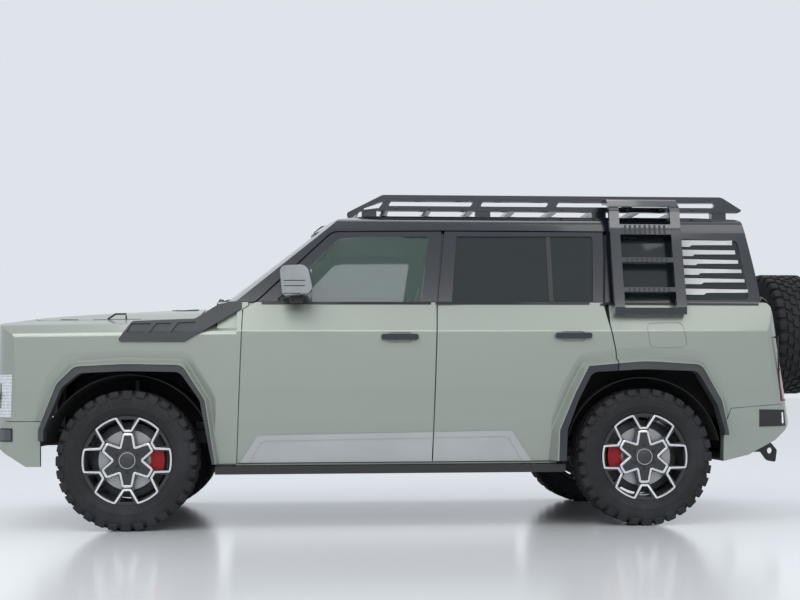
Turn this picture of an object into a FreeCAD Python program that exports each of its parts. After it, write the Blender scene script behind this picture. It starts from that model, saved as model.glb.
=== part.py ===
import FreeCAD, Part
import math
import os

V = FreeCAD.Vector

# Whole vehicle, in millimetres: +X forward, +Y to its left, +Z up, ground at 0
wheelbase = 3005.0
front_overhang = 832.0
rear_overhang = 1313.0      # to the back of the spare wheel
spare_thickness = 262.0     # how deep the spare wheel stands behind its carrier
tyre_radius = 400.0
tyre_width = 275.0
half_track = 817.5
body_side_y = 945.0         # widest skin of the doors
flare_y = 986.0             # widest edge of the wheel-arch flares
rocker_y = 906.0
belt_y = 885.0
cant_y = 792.0              # glass plane at the top of the side windows
roof_edge_y = 690.0

# Heights
sill_z = 382.0
swage_z = 622.0
wide_z = 800.0
crease_z = 1140.0
belt_z = 1305.0
cant_z = 1745.0             # drip line over the side windows
roof_z = 1868.0
rack_top_z = 1986.0
bumper_seam_z = 627.0
tailgate_low_z = 727.0
floor_z = 500.0
cargo_z = 630.0

# Places along the vehicle
front_x = (wheelbase + rear_overhang - front_overhang) / 2.0
rear_x = front_x - wheelbase
nose_x = front_x + front_overhang
spare_back_x = rear_x - rear_overhang
tail_low_x = spare_back_x + spare_thickness + 140.0
tail_lean = 0.165           # how far the tail leans forward for each unit of height
door_front_x = front_x - 624.0
door_front_lean = 29.0
b_cut_x = front_x - 1748.0
b_cut_belt_lean = 35.0
b_cut_top_lean = 76.0
c_cut_belt_x = rear_x + 223.0
c_cut_top_x = rear_x + 197.0
c_cut_arch_x = rear_x + 163.0
cowl_x = front_x - 386.0
screen_foot_x = front_x - 463.0
screen_foot_z = 1292.0
roof_front_x = front_x - 1142.0
roof_front_z = 1800.0
screen_bow_radius = 3600.0

# Wall sizes
skin = 28.0                 # outer layer of a door or side
door_wall = 90.0            # whole door below the belt
pillar_wall = 66.0          # whole side above the belt
front_wall = 20.0           # wings, hood and nose
glass = 6.0
panel_gap = 7.0
hinge_gap = 18.0            # round the inner part of a door
jamb_step = 45.0            # how far the inner part of a door is set in
wing_back_x = door_front_x + panel_gap + 1.0
seat_gap = 0.3              # left between a moving piece and what carries it
cladding_rise = 8.0         # how far the door cladding stands out
bevel_depth = 16.0          # of the slanted band that leads into a flare

# Front end
hood_half = 720.0
hood_side_z = 1212.0
front_shoulder_y = 868.0
nose_half = 800.0
lamp_inner_y = 610.0
wheel_well_y = 600.0
liner_radius = 486.0

# Wheels and running gear
wheel_z = tyre_radius
rim_radius = 254.0
spindle_radius = 24.0
lug_count = 32
lug_depth = 12.0
kingpin_y = 745.0
rail_y = 370.0              # inner face of a frame rail
rail_width = 76.0
hook_eye_radius = 20.0
spare_z = 1165.0

# Fittings
step_top_z = 363.0
step_low_z = 317.0
rack_half = 665.0
ladder_x = rear_x + 170.0
ladder_width = 432.0
mirror_x = front_x - 874.0
mirror_y = 1100.0
front_seat_x = front_x - 1420.0
rear_seat_x = front_x - 2330.0
cargo_front_x = rear_seat_x - 265.0

PARTS = {}


def add(name, shape):
    """Keep a finished sub-part, as one compound when it has several solids."""
    PARTS[name] = shape.removeSplitter()


def outline(points, place):
    """Closed wire through (u, v) or (u, v, radius) corners, each radius as a tangent arc."""
    corners = [V(p[0], p[1], 0) for p in points]
    radii = [p[2] if len(p) > 2 else 0.0 for p in points]
    count = len(corners)
    starts, middles, ends = [], [], []
    for i in range(count):
        here = corners[i]
        back = corners[i - 1] - here
        ahead = corners[(i + 1) % count] - here
        room = 0.49 * min(back.Length, ahead.Length)
        back.normalize()
        ahead.normalize()
        half = math.acos(max(-1.0, min(1.0, back.dot(ahead)))) / 2.0
        if radii[i] <= 0.0 or half > math.radians(89.9):
            starts.append(here)
            middles.append(None)
            ends.append(here)
            continue
        reach = min(radii[i] / math.tan(half), room)
        radius = reach * math.tan(half)
        bisector = back + ahead
        bisector.normalize()
        starts.append(here + back * reach)
        middles.append(here + bisector * (radius / math.sin(half) - radius))
        ends.append(here + ahead * reach)
    edges = []
    for i in range(count):
        if middles[i] is not None:
            arc = Part.Arc(*[place(p.x, p.y) for p in (starts[i], middles[i], ends[i])])
            edges.append(arc.toShape())
        after = starts[(i + 1) % count]
        if (after - ends[i]).Length > 1e-4:
            edges.append(Part.makeLine(place(ends[i].x, ends[i].y), place(after.x, after.y)))
    return Part.Wire(edges)


def prism_x(points, low, high, rise=0.0):
    """Extrude a (y, z) outline along X; rise lifts it as it goes."""
    face = Part.Face(outline(points, lambda u, v: V(low, u, v)))
    return face.extrude(V(high - low, 0, rise))


def prism_y(points, low, high):
    """Extrude an (x, z) outline along Y."""
    face = Part.Face(outline(points, lambda u, v: V(u, low, v)))
    return face.extrude(V(0, high - low, 0))


def prism_z(points, low, high, shift=0.0):
    """Extrude an (x, y) outline along Z; shift moves it along X as it goes."""
    face = Part.Face(outline(points, lambda u, v: V(u, v, low)))
    return face.extrude(V(shift, 0, high - low))


def block(x0, x1, y0, y1, z0, z1):
    return Part.makeBox(x1 - x0, y1 - y0, z1 - z0, V(x0, y0, z0))


def rod(start, end, radius):
    """Round bar between two points."""
    along = V(*end) - V(*start)
    return Part.makeCylinder(radius, along.Length, V(*start), along)


def mirrored(shape):
    """The same shape on the other side of the vehicle."""
    return shape.mirror(V(0, 0, 0), V(0, 1, 0))


def both(shape):
    """A left piece and its right twin, as one compound."""
    return Part.makeCompound([shape, mirrored(shape)])


def symmetric(points):
    """Outline from a left half listed from the bottom to the top."""
    other = [(-p[0],) + tuple(p[1:]) for p in reversed(points) if abs(p[0]) > 1e-6]
    return list(points) + other


def fuse(shapes):
    whole = shapes[0]
    if len(shapes) > 1:
        whole = whole.fuse(shapes[1:])
    return whole.removeSplitter()


def left_half(shape):
    far = 4000.0
    return shape.common(block(-far, far, 0.0, far, -far, far))


def side_section(inset, low):
    """Half section of the lower body, from its bottom to the crease."""
    return [
        (0.0, low),
        (rocker_y - inset, low),
        (body_side_y - 10.0 - inset, swage_z),
        (body_side_y - inset, wide_z, 500.0),
        (body_side_y - 7.0 - inset, crease_z, 40.0),
    ]


def side_form(out, x0, x1):
    """Everything inside the side skins once they are moved out by the given amount."""
    top = belt_z + 12.0
    section = side_section(-out, 367.0) + [(belt_y + out, top), (0.0, top)]
    return prism_x(symmetric(section), x0, x1)


def tail_plan(x_tail, corner, far):
    """Bowed tail with rounded corners, seen from above."""
    half = body_side_y + 60.0
    return [
        (far, half),
        (x_tail + 45.0, body_side_y + 4.0, corner),
        (x_tail, 0.0, 5000.0),
        (x_tail + 45.0, -body_side_y - 4.0, corner),
        (far, -half),
    ]


def lower_body(inset, tail_inset, low=367.0):
    """Closed form of the cabin from the rockers to the belt line."""
    top = belt_z + 12.0
    section = side_section(inset, low) + [(belt_y - inset, top), (0.0, top)]
    body = prism_x(symmetric(section), tail_low_x - 60.0, door_front_x + 120.0)
    tail = tail_low_x + tail_inset
    profile = [
        (door_front_x + 200.0, low),
        (rear_x - 467.0, low),
        (rear_x - 630.0, low + 39.0),
        (tail + 120.0, 492.0),
        (tail + 30.0, 580.0),
        (tail, 640.0),
        (tail, 716.0),
        (tail + 50.0, crease_z + 10.0, 90.0),
        (tail + 132.0, top, 60.0),
        (door_front_x + 200.0, top),
    ]
    body = body.common(prism_y(profile, -1100.0, 1100.0))
    plan = tail_plan(tail - 22.0 - 0.118 * (716.0 - 300.0), 150.0, door_front_x + 400.0)
    return body.common(prism_z(plan, 300.0, 1500.0, 0.118 * 1200.0))


def upper_body(inset, screen_inset, tail_inset, top_inset):
    """Closed form of the cabin from the belt line to the roof."""
    base = belt_z - 60.0
    foot = belt_y + 12.0
    roof = roof_z - top_inset
    section = [
        (0.0, base),
        (foot - inset, base),
        (cant_y - inset, cant_z),
        (cant_y - 22.0 - inset, roof - 58.0, 60.0),
        (roof_edge_y - inset, roof - 14.0, 120.0),
        (0.0, roof + 8.0, 9000.0),
    ]
    body = prism_x(symmetric(section), tail_low_x, screen_foot_x + 200.0)
    tail = tail_low_x + 132.0 + tail_inset
    lean = math.atan2(roof_front_z - screen_foot_z, screen_foot_x + 64.0 - roof_front_x - 90.0)
    back = screen_inset / math.sin(lean)
    profile = [
        (screen_foot_x + 64.0 - back + 48.0, base),
        (screen_foot_x + 64.0 - back, screen_foot_z),
        (roof_front_x + 90.0 - back, roof_front_z - 0.4 * top_inset, 320.0),
        (roof_front_x - 320.0, roof - 8.0, 1200.0),
        (front_x - 2150.0, roof + 6.0, 4000.0),
        (rear_x - 60.0, roof, 2500.0),
        (tail + 92.0, roof - 32.0, 60.0),
        (tail - 12.0, base),
    ]
    body = body.common(prism_y(profile, -1000.0, 1000.0))
    along = V(-math.cos(lean), 0, math.sin(lean))
    normal = V(math.sin(lean), 0, math.cos(lean))
    radius = screen_bow_radius - screen_inset
    foot_point = V(screen_foot_x + 64.0, 0, screen_foot_z)
    start = foot_point - normal * screen_bow_radius - along * 4000.0
    body = body.common(Part.makeCylinder(radius, 9000.0, start, along))
    plan = tail_plan(tail - 30.0, 130.0, screen_foot_x + 400.0)
    return body.common(prism_z(plan, base - 20.0, base + 780.0, tail_lean * 800.0))


def front_body(inset):
    """Closed form of the nose, wings and hood."""
    far = wing_back_x
    low = 367.0
    section = side_section(inset, low - 2.0 * inset) + [
        (front_shoulder_y - inset, hood_side_z - 16.0 - inset, 60.0),
        (hood_half + 20.0, hood_side_z + 12.0 - inset, 60.0),
        (560.0, hood_side_z + 58.0 - inset, 200.0),
        (330.0, hood_side_z + 96.0 - inset, 120.0),
        (0.0, hood_side_z + 112.0 - inset, 3000.0),
    ]
    body = prism_x(symmetric(section), far, nose_x + 40.0, rise=-22.0)
    nose = nose_x - inset
    profile = [
        (far, low - 2.0 * inset),
        (front_x + 469.0, low - 2.0 * inset),
        (front_x + 571.0, 367.0 - inset),
        (nose - 90.0, 480.0 - 0.5 * inset, 30.0),
        (nose - 12.0, 560.0, 40.0),
        (nose, 660.0, 100.0),
        (nose, 985.0, 120.0),
        (nose - 20.0, 1115.0 - inset, 70.0),
        (nose - 62.0, 1186.0 - inset, 90.0),
        (nose - 300.0, 1232.0 - inset, 500.0),
        (front_x + 170.0, 1268.0 - inset, 1500.0),
        (cowl_x, 1310.0 - inset, 600.0),
        (far, 1335.0 - inset),
    ]
    body = body.common(prism_y(profile, -1100.0, 1100.0))
    plan = [
        (far - 10.0, body_side_y + 30.0 - inset),
        (nose - 95.0, body_side_y + 5.0 - inset, 190.0),
        (nose + 36.0, 0.0, 5000.0),
        (nose - 95.0, -body_side_y - 5.0 + inset, 190.0),
        (far - 10.0, -body_side_y - 30.0 + inset),
    ]
    return body.common(prism_z(plan, 200.0, 1400.0))


def cabin(inset, upper_inset, tail_inset, screen_inset=None, top_inset=None, low=367.0):
    """Whole cabin form, lower and upper, set in by the given walls."""
    screen = upper_inset if screen_inset is None else screen_inset
    top = upper_inset if top_inset is None else top_inset
    lower = lower_body(inset, tail_inset, low)
    return lower.fuse(upper_body(upper_inset, screen, tail_inset, top))


def closed_arch(points, axle_x, low):
    """Wheel-arch outline from its (dx, z, radius) points, closed below."""
    arch = [(axle_x + p[0],) + tuple(p[1:]) for p in points]
    return [(arch[0][0], low)] + arch + [(arch[-1][0], low)]


def blend(outer, inner, share):
    """Arch outline that lies between two others."""
    between = []
    for a, b in zip(outer, inner):
        between.append(tuple(p + (q - p) * share for p, q in zip(a, b)))
    return between


def flare(outer, inner, axle_x, low):
    """Body-coloured flare of a left wheel arch, and the dark trim inside it."""
    rim = blend(outer, inner, 0.42)
    lip = blend(outer, inner, 0.5)
    base_y = body_side_y - skin - 4.0
    wires = []
    for points, y in ((outer, base_y), (rim, flare_y)):
        wires.append(outline(closed_arch(points, axle_x, low), lambda u, v, y=y: V(u, y, v)))
    form = Part.makeLoft(wires, True, True)
    hole = prism_y(closed_arch(lip, axle_x, low - 50.0), base_y - 50.0, flare_y + 50.0)
    trim = prism_y(closed_arch(lip, axle_x, low), base_y - 24.0, flare_y - 5.0)
    trim = trim.cut(prism_y(closed_arch(inner, axle_x, low - 50.0), 0.0, 1100.0))
    return form.cut(hole), trim


def flare_bevel(outer, inner, axle_x):
    """Cutter for the slanted band that leads from a left side skin into its flare."""
    wires = []
    for points, y in ((outer, body_side_y - bevel_depth), (blend(outer, inner, -0.8), body_side_y + 2.0)):
        wires.append(outline(closed_arch(points, axle_x, 300.0), lambda u, v, y=y: V(u, y, v)))
    return Part.makeLoft(wires, True, True)


front_arch_outer = [
    (-518.0, 385.0, 0.0), (-470.0, 743.0, 60.0), (-326.0, 983.0, 70.0), (12.0, 990.0, 900.0),
    (322.0, 973.0, 70.0), (420.0, 860.0, 60.0), (520.0, 578.0, 0.0),
]
front_arch_inner = [
    (-483.0, 385.0, 0.0), (-412.0, 743.0, 60.0), (-297.0, 904.0, 60.0), (13.0, 910.0, 900.0),
    (266.0, 899.0, 60.0), (366.0, 815.0, 60.0), (461.0, 578.0, 0.0),
]
rear_arch_outer = [
    (-518.0, 525.0, 0.0), (-475.0, 760.0, 60.0), (-360.0, 978.0, 70.0), (-2.0, 1008.0, 900.0),
    (357.0, 968.0, 70.0), (436.0, 822.0, 60.0), (558.0, 561.0, 80.0), (566.0, 387.0, 0.0),
]
rear_arch_inner = [
    (-468.0, 554.0, 0.0), (-429.0, 701.0, 60.0), (-313.0, 902.0, 60.0), (-2.0, 914.0, 900.0),
    (314.0, 897.0, 60.0), (400.0, 734.0, 60.0), (468.0, 560.0, 80.0), (476.0, 386.0, 0.0),
]


def front_door_outline(grow, rear_grow=0.0, top_rear_grow=0.0):
    """Side view of the front door; the B cut leans back and the A cut follows the pillar."""
    b_top = b_cut_x - b_cut_top_lean - top_rear_grow
    b_belt = b_cut_x - b_cut_belt_lean - rear_grow
    return [
        (door_front_x + grow, sill_z - grow),
        (door_front_x - door_front_lean + grow, belt_z - 37.0),
        (door_front_x - 118.0 + grow, belt_z + 18.0 + grow),
        (front_x - 1176.0 + grow, cant_z - 8.0 + grow, 90.0),
        (b_top, cant_z + grow),
        (b_belt, belt_z),
        (b_cut_x - rear_grow, sill_z - grow),
    ]


def rear_door_outline(grow, rear_grow=0.0, top_rear_grow=0.0):
    """Side view of the rear door; its lower rear corner is cut later by the wheel arch."""
    lead = panel_gap - grow
    return [
        (b_cut_x - lead, sill_z - grow),
        (b_cut_x - b_cut_belt_lean - lead - 3.0, belt_z),
        (b_cut_x - b_cut_top_lean - lead - 14.0 * (1.0 if grow < 1.0 else 0.0), cant_z + grow),
        (c_cut_top_x - top_rear_grow, cant_z + grow),
        (c_cut_belt_x - rear_grow, belt_z),
        (c_cut_arch_x - grow, 1000.0),
        (c_cut_arch_x - grow, sill_z - grow),
    ]


def inner_door(points, step, low_z, high_z):
    """Inner part of a door: its outline set in by a step, below the belt line."""
    xs = [p[0] for p in points if p[1] < belt_z + 1.0]
    return [
        (max(xs) - step, low_z), (max(xs) - step - door_front_lean, high_z),
        (min(xs) + step, high_z), (min(xs) + step, low_z),
    ]


front_window = [
    (front_x - 834.0, belt_z + 9.0, 12.0), (front_x - 1208.0, cant_z - 48.0, 40.0),
    (front_x - 1270.0, cant_z - 36.0, 60.0), (front_x - 1751.0, cant_z - 32.0, 14.0),
    (front_x - 1694.0, belt_z + 7.0, 14.0),
]
rear_window = [
    (b_cut_x - 128.0, belt_z + 7.0, 14.0), (b_cut_x - 168.0, cant_z - 30.0, 14.0),
    (c_cut_top_x + 64.0, cant_z - 26.0, 14.0), (c_cut_belt_x + 60.0, belt_z + 9.0, 14.0),
]
quarter_window = [
    (rear_x + 122.0, belt_z + 15.0, 20.0), (rear_x + 112.0, cant_z - 30.0, 20.0),
    (rear_x - 632.0, cant_z - 48.0, 30.0), (rear_x - 672.0, belt_z + 27.0, 30.0),
]


def tailgate_outline(right, left_low, left_top, top, low):
    """Rear view of the tailgate, grown by the gap on each side."""
    return [
        (-712.0 - right, tailgate_low_z - low), (712.0 + left_low, tailgate_low_z - low),
        (722.0 + left_low, crease_z), (700.0 + 0.5 * (left_low + left_top), belt_z),
        (640.0 + left_top, roof_z - 80.0 + top, 60.0),
        (-640.0 - right, roof_z - 80.0 + top, 60.0),
        (-700.0 - right, belt_z), (-722.0 - right, crease_z),
    ]


tail_window = [
    (-585.0, belt_z + 45.0, 30.0), (585.0, belt_z + 45.0, 30.0),
    (545.0, roof_z - 140.0, 40.0), (-545.0, roof_z - 140.0, 40.0),
]
screen_opening = [
    (-752.0, screen_foot_z - 14.0), (752.0, screen_foot_z - 14.0),
    (672.0, roof_front_z - 38.0, 50.0), (0.0, roof_front_z - 8.0, 4000.0),
    (-672.0, roof_front_z - 38.0, 50.0),
]
wide = 1100.0
cladding = [
    (door_front_x - 17.0, sill_z), (door_front_x - 107.0, 524.0), (door_front_x - 141.0, 538.0),
    (rear_x + 812.0, 558.0), (rear_x + 782.0, 550.0), (rear_x + 672.0, sill_z),
]
cladding_panel = [
    (door_front_x - 58.0, sill_z - 20.0), (door_front_x - 132.0, 494.0), (door_front_x - 160.0, 507.0),
    (rear_x + 828.0, 526.0), (rear_x + 806.0, 518.0), (rear_x + 716.0, sill_z - 20.0),
]
fuel_flap = [
    (rear_x - 22.0, 1187.0, 34.0), (rear_x - 244.0, 1192.0, 34.0),
    (rear_x - 270.0, 1041.0, 34.0), (rear_x - 43.0, 1036.0, 34.0),
]


def handle_outline(x, z, length, height, radius):
    """Rounded rectangle round a door handle's middle."""
    return [
        (x + length / 2.0, z - height / 2.0, radius), (x + length / 2.0, z + height / 2.0, radius),
        (x - length / 2.0, z + height / 2.0, radius), (x - length / 2.0, z - height / 2.0, radius),
    ]


def with_handle(door, x, z):
    """A left door with a bar handle over a finger pocket."""
    near = side_form(-12.0, x - 200.0, x + 200.0)
    pocket = prism_y(handle_outline(x, z - 4.0, 150.0, 62.0, 26.0), body_side_y - 40.0, wide).cut(near)
    bar = prism_y(handle_outline(x, z, 218.0, 34.0, 13.0), body_side_y - 22.0, body_side_y + 19.0)
    bar = bar.cut(block(x - 72.0, x + 72.0, 0.0, body_side_y + 6.0, z - 40.0, z + 40.0))
    return door.cut(pocket).fuse(bar)


def with_cladding(door, edge):
    """A left door with its raised cladding and the shallow panel pressed into it."""
    layer = side_form(cladding_rise, rear_x, front_x).cut(side_form(-6.0, rear_x, front_x))
    raised = layer.common(prism_y(cladding, 0.0, wide)).common(edge)
    sunk = prism_y(cladding_panel, 0.0, wide).cut(side_form(cladding_rise - 5.0, rear_x, front_x))
    return door.fuse(raised.cut(sunk))


def door_leaves(points):
    """Two hinge leaves on the pillar ahead of a left door, seated on the door's inner part."""
    grown = prism_y(inner_door(points, jamb_step - seat_gap, sill_z + 34.0, belt_z - 6.0), 0.0, wide)
    lead = max(p[0] for p in points if p[1] < belt_z + 1.0)
    leaves = []
    for z in (560.0, 980.0):
        leaf = block(lead - 90.0, lead - 12.0, body_side_y - 84.0, body_side_y - 54.0, z, z + 90.0)
        leaves.append(leaf.cut(grown))
    return leaves


def flap_groove():
    """Cutter for the line round the fuel flap on the left side."""
    middle_x = sum(p[0] for p in fuel_flap) / 4.0
    middle_z = sum(p[1] for p in fuel_flap) / 4.0
    small = []
    for x, z, radius in fuel_flap:
        inward = (math.copysign(4.0, middle_x - x), math.copysign(4.0, middle_z - z))
        small.append((x + inward[0], z + inward[1], radius - 4.0))
    line = prism_y(fuel_flap, 800.0, wide).cut(prism_y(small, 800.0, wide))
    return line.cut(side_form(-4.0, rear_x - 400.0, rear_x + 200.0))


def build_cabin():
    """Body sides, roof, glass, doors and tailgate, all cut from one form."""
    outer = cabin(0.0, 0.0, 0.0)
    behind_skin = cabin(skin, skin, skin)
    jamb = cabin(skin + 8.0, skin + 8.0, skin)
    cavity = cabin(door_wall, pillar_wall, 86.0, 60.0, 45.0, low=250.0)
    pane_out = cabin(9.0, 9.0, 9.0)
    pane_in = cabin(9.0 + glass, 9.0 + glass, 9.0 + glass)
    wall = outer.cut(cavity)
    outer_layer = outer.cut(behind_skin)
    inner_layer = behind_skin.cut(cavity)
    panes = pane_out.cut(pane_in)

    arch_form, arch_trim = flare(rear_arch_outer, rear_arch_inner, rear_x, sill_z - 5.0)
    arch_hole = prism_y(closed_arch(rear_arch_inner, rear_x, 200.0), 0.0, wide)
    well = prism_y(closed_arch(blend(rear_arch_outer, rear_arch_inner, 0.5), rear_x, 200.0),
                   wheel_well_y, wide)

    front = front_door_outline(0.0)
    rear = rear_door_outline(0.0)
    front_jamb = front_door_outline(panel_gap, 4.0, 4.0)
    rear_jamb = rear_door_outline(panel_gap, 10.0, 24.0)
    front_inner = inner_door(front, jamb_step, sill_z + 34.0, belt_z - 6.0)
    rear_inner = inner_door(rear, jamb_step, sill_z + 34.0, belt_z - 6.0)
    front_inner_jamb = inner_door(front, jamb_step - hinge_gap, sill_z + 16.0, belt_z + 6.0)
    rear_inner_jamb = inner_door(rear, jamb_step - hinge_gap, sill_z + 16.0, belt_z + 6.0)

    below_belt = block(-4000.0, 4000.0, 0.0, wide, 0.0, belt_z - 6.0)
    roof_zone = block(-4000.0, 4000.0, -wide, wide, cant_z + 14.0, 3000.0)
    screen_zone = prism_x(screen_opening, roof_front_x - 260.0, nose_x)
    tail_low = tail_low_x - 400.0
    gate_zone = prism_x(tailgate_outline(7.0, 10.0, 28.0, 8.0, 200.0), tail_low, tail_low_x + 420.0)
    bumper_zone = prism_y(rear_bumper_outline(3.0), -wide, wide)
    scuttle_zone = block(screen_foot_x - 80.0, nose_x, -760.0, 760.0, 1150.0, belt_z + 20.0)

    side = left_half(wall)
    door_holes = prism_y(front_jamb, 0.0, wide).fuse(prism_y(rear_jamb, 0.0, wide))
    side = side.cut(door_holes.cut(jamb))
    for opening in (front_inner_jamb, rear_inner_jamb, front_window, rear_window, quarter_window):
        side = side.cut(prism_y(opening, 0.0, wide))
    for zone in (well, roof_zone, screen_zone, gate_zone, bumper_zone):
        side = side.cut(zone)
    ahead = block(wing_back_x, 4000.0, 0.0, wide, 0.0, belt_z + 12.0)
    side = side.cut(ahead.cut(cabin(front_wall, front_wall, 0.0)))
    rear_jamb_form = prism_y(rear_jamb, 0.0, wide)
    lamp_zone = block(tail_low_x - 60.0, tail_low_x + 85.0, 800.0, 960.0, 722.0, 1113.0)
    bevel = flare_bevel(rear_arch_outer, rear_arch_inner, rear_x)
    trim_room = closed_arch(blend(rear_arch_outer, rear_arch_inner, 0.38), rear_x, 200.0)
    trim_room = prism_y(trim_room, wheel_well_y, wide).common(rear_jamb_form)
    side = side.cut(lamp_zone).cut(scuttle_zone).cut(bevel).cut(trim_room)
    quarter_flare = arch_form.cut(rear_jamb_form).cut(bumper_zone)
    leaves = door_leaves(front) + door_leaves(rear)
    side = side.fuse([quarter_flare] + leaves).removeSplitter()
    add("body_side_left", side.cut(flap_groove()))
    gate_seat = prism_x(tailgate_outline(seat_gap, seat_gap, seat_gap, seat_gap, seat_gap), tail_low, tail_low_x + 420.0)
    gate_leaves = [block(tail_low_x + 40.0, tail_low_x + 110.0, -745.0, -690.0, z, z + 90.0).cut(gate_seat)
                   for z in (800.0, 1060.0)]
    add("body_side_right", mirrored(side).fuse(gate_leaves).removeSplitter())
    add("tail_lamps", both(outer.cut(cabin(46.0, 46.0, 46.0)).common(lamp_zone)))

    scuttle = wall.common(scuttle_zone).cut(screen_zone)
    roof = wall.common(roof_zone).cut(screen_zone).cut(gate_zone)
    sensor = prism_y([(roof_front_x + 120.0, 1790.0, 20.0), (roof_front_x + 30.0, 1868.0, 30.0),
                      (roof_front_x - 120.0, 1880.0, 20.0), (roof_front_x - 120.0, 1800.0)],
                     -110.0, 110.0)
    add("roof_panel", roof.fuse(sensor.cut(outer)))
    add("windscreen", panes.common(prism_x(screen_opening, roof_front_x - 30.0, nose_x)))
    add("quarter_glass", both(panes.common(prism_y(quarter_window, 0.0, wide))))

    bumper = outer.cut(cabin(60.0, 60.0, 60.0, low=375.0))
    bumper = bumper.common(prism_y(rear_bumper_outline(0.0), -wide, wide))
    low_corner = block(-4000.0, rear_x, 0.0, wide, 0.0, 525.0)
    quarter_trim = arch_trim.cut(rear_jamb_form).cut(low_corner)
    foot_step = prism_z([(tail_low_x + 80.0, -600.0), (tail_low_x - 50.0, -600.0, 20.0),
                         (tail_low_x - 87.0, -550.0, 40.0), (tail_low_x - 87.0, 550.0, 40.0),
                         (tail_low_x - 50.0, 600.0, 20.0), (tail_low_x + 80.0, 600.0)], 618.0, 692.0)
    bumper = bumper.cut(both(quarter_trim)).fuse(foot_step.cut(outer))
    add("rear_bumper", clear_of_frame(bumper))

    rear_flare = arch_form.common(prism_y(rear, 0.0, wide)).fuse(
        arch_trim.common(prism_y(rear, 0.0, wide)))

    doors = (
        ("front", front, front_inner, front_window, None, b_cut_x + 185.0, 1105.0),
        ("rear", rear, rear_inner, rear_window, rear_flare, rear_x + 418.0, 1112.0),
    )
    for name, shape, inner, window, extra, handle_x, handle_z in doors:
        door = outer_layer.common(prism_y(shape, 0.0, wide))
        door = door.fuse(inner_layer.common(prism_y(inner, 0.0, wide)).common(below_belt))
        door = with_cladding(door.cut(prism_y(window, 0.0, wide)), prism_y(shape, 0.0, wide))
        if extra is not None:
            door = door.cut(prism_y(closed_arch(blend(rear_arch_outer, rear_arch_inner, 0.5),
                                                rear_x, 200.0), 0.0, wide))
            door = door.cut(bevel).fuse(extra)
        door = with_handle(door, handle_x, handle_z).removeSplitter()
        pane = panes.common(prism_y(window, 0.0, wide))
        for end, form in (("left", lambda s: s), ("right", mirrored)):
            add("door_%s_%s" % (name, end), form(door))
            add("door_glass_%s_%s" % (name, end), form(pane))

    gate_form = prism_x(tailgate_outline(0.0, 0.0, 0.0, 0.0, 0.0), tail_low, tail_low_x + 400.0)
    gate_wall = outer.cut(cavity.fuse(upper_body(pillar_wall, 60.0, 50.0, 45.0)))
    gate = gate_wall.common(gate_form).cut(prism_x(tail_window, tail_low, tail_low_x + 420.0))
    add("tailgate", gate)
    add("tailgate_glass", panes.common(prism_x(tail_window, tail_low, tail_low_x + 420.0)))
    return quarter_trim, scuttle


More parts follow.
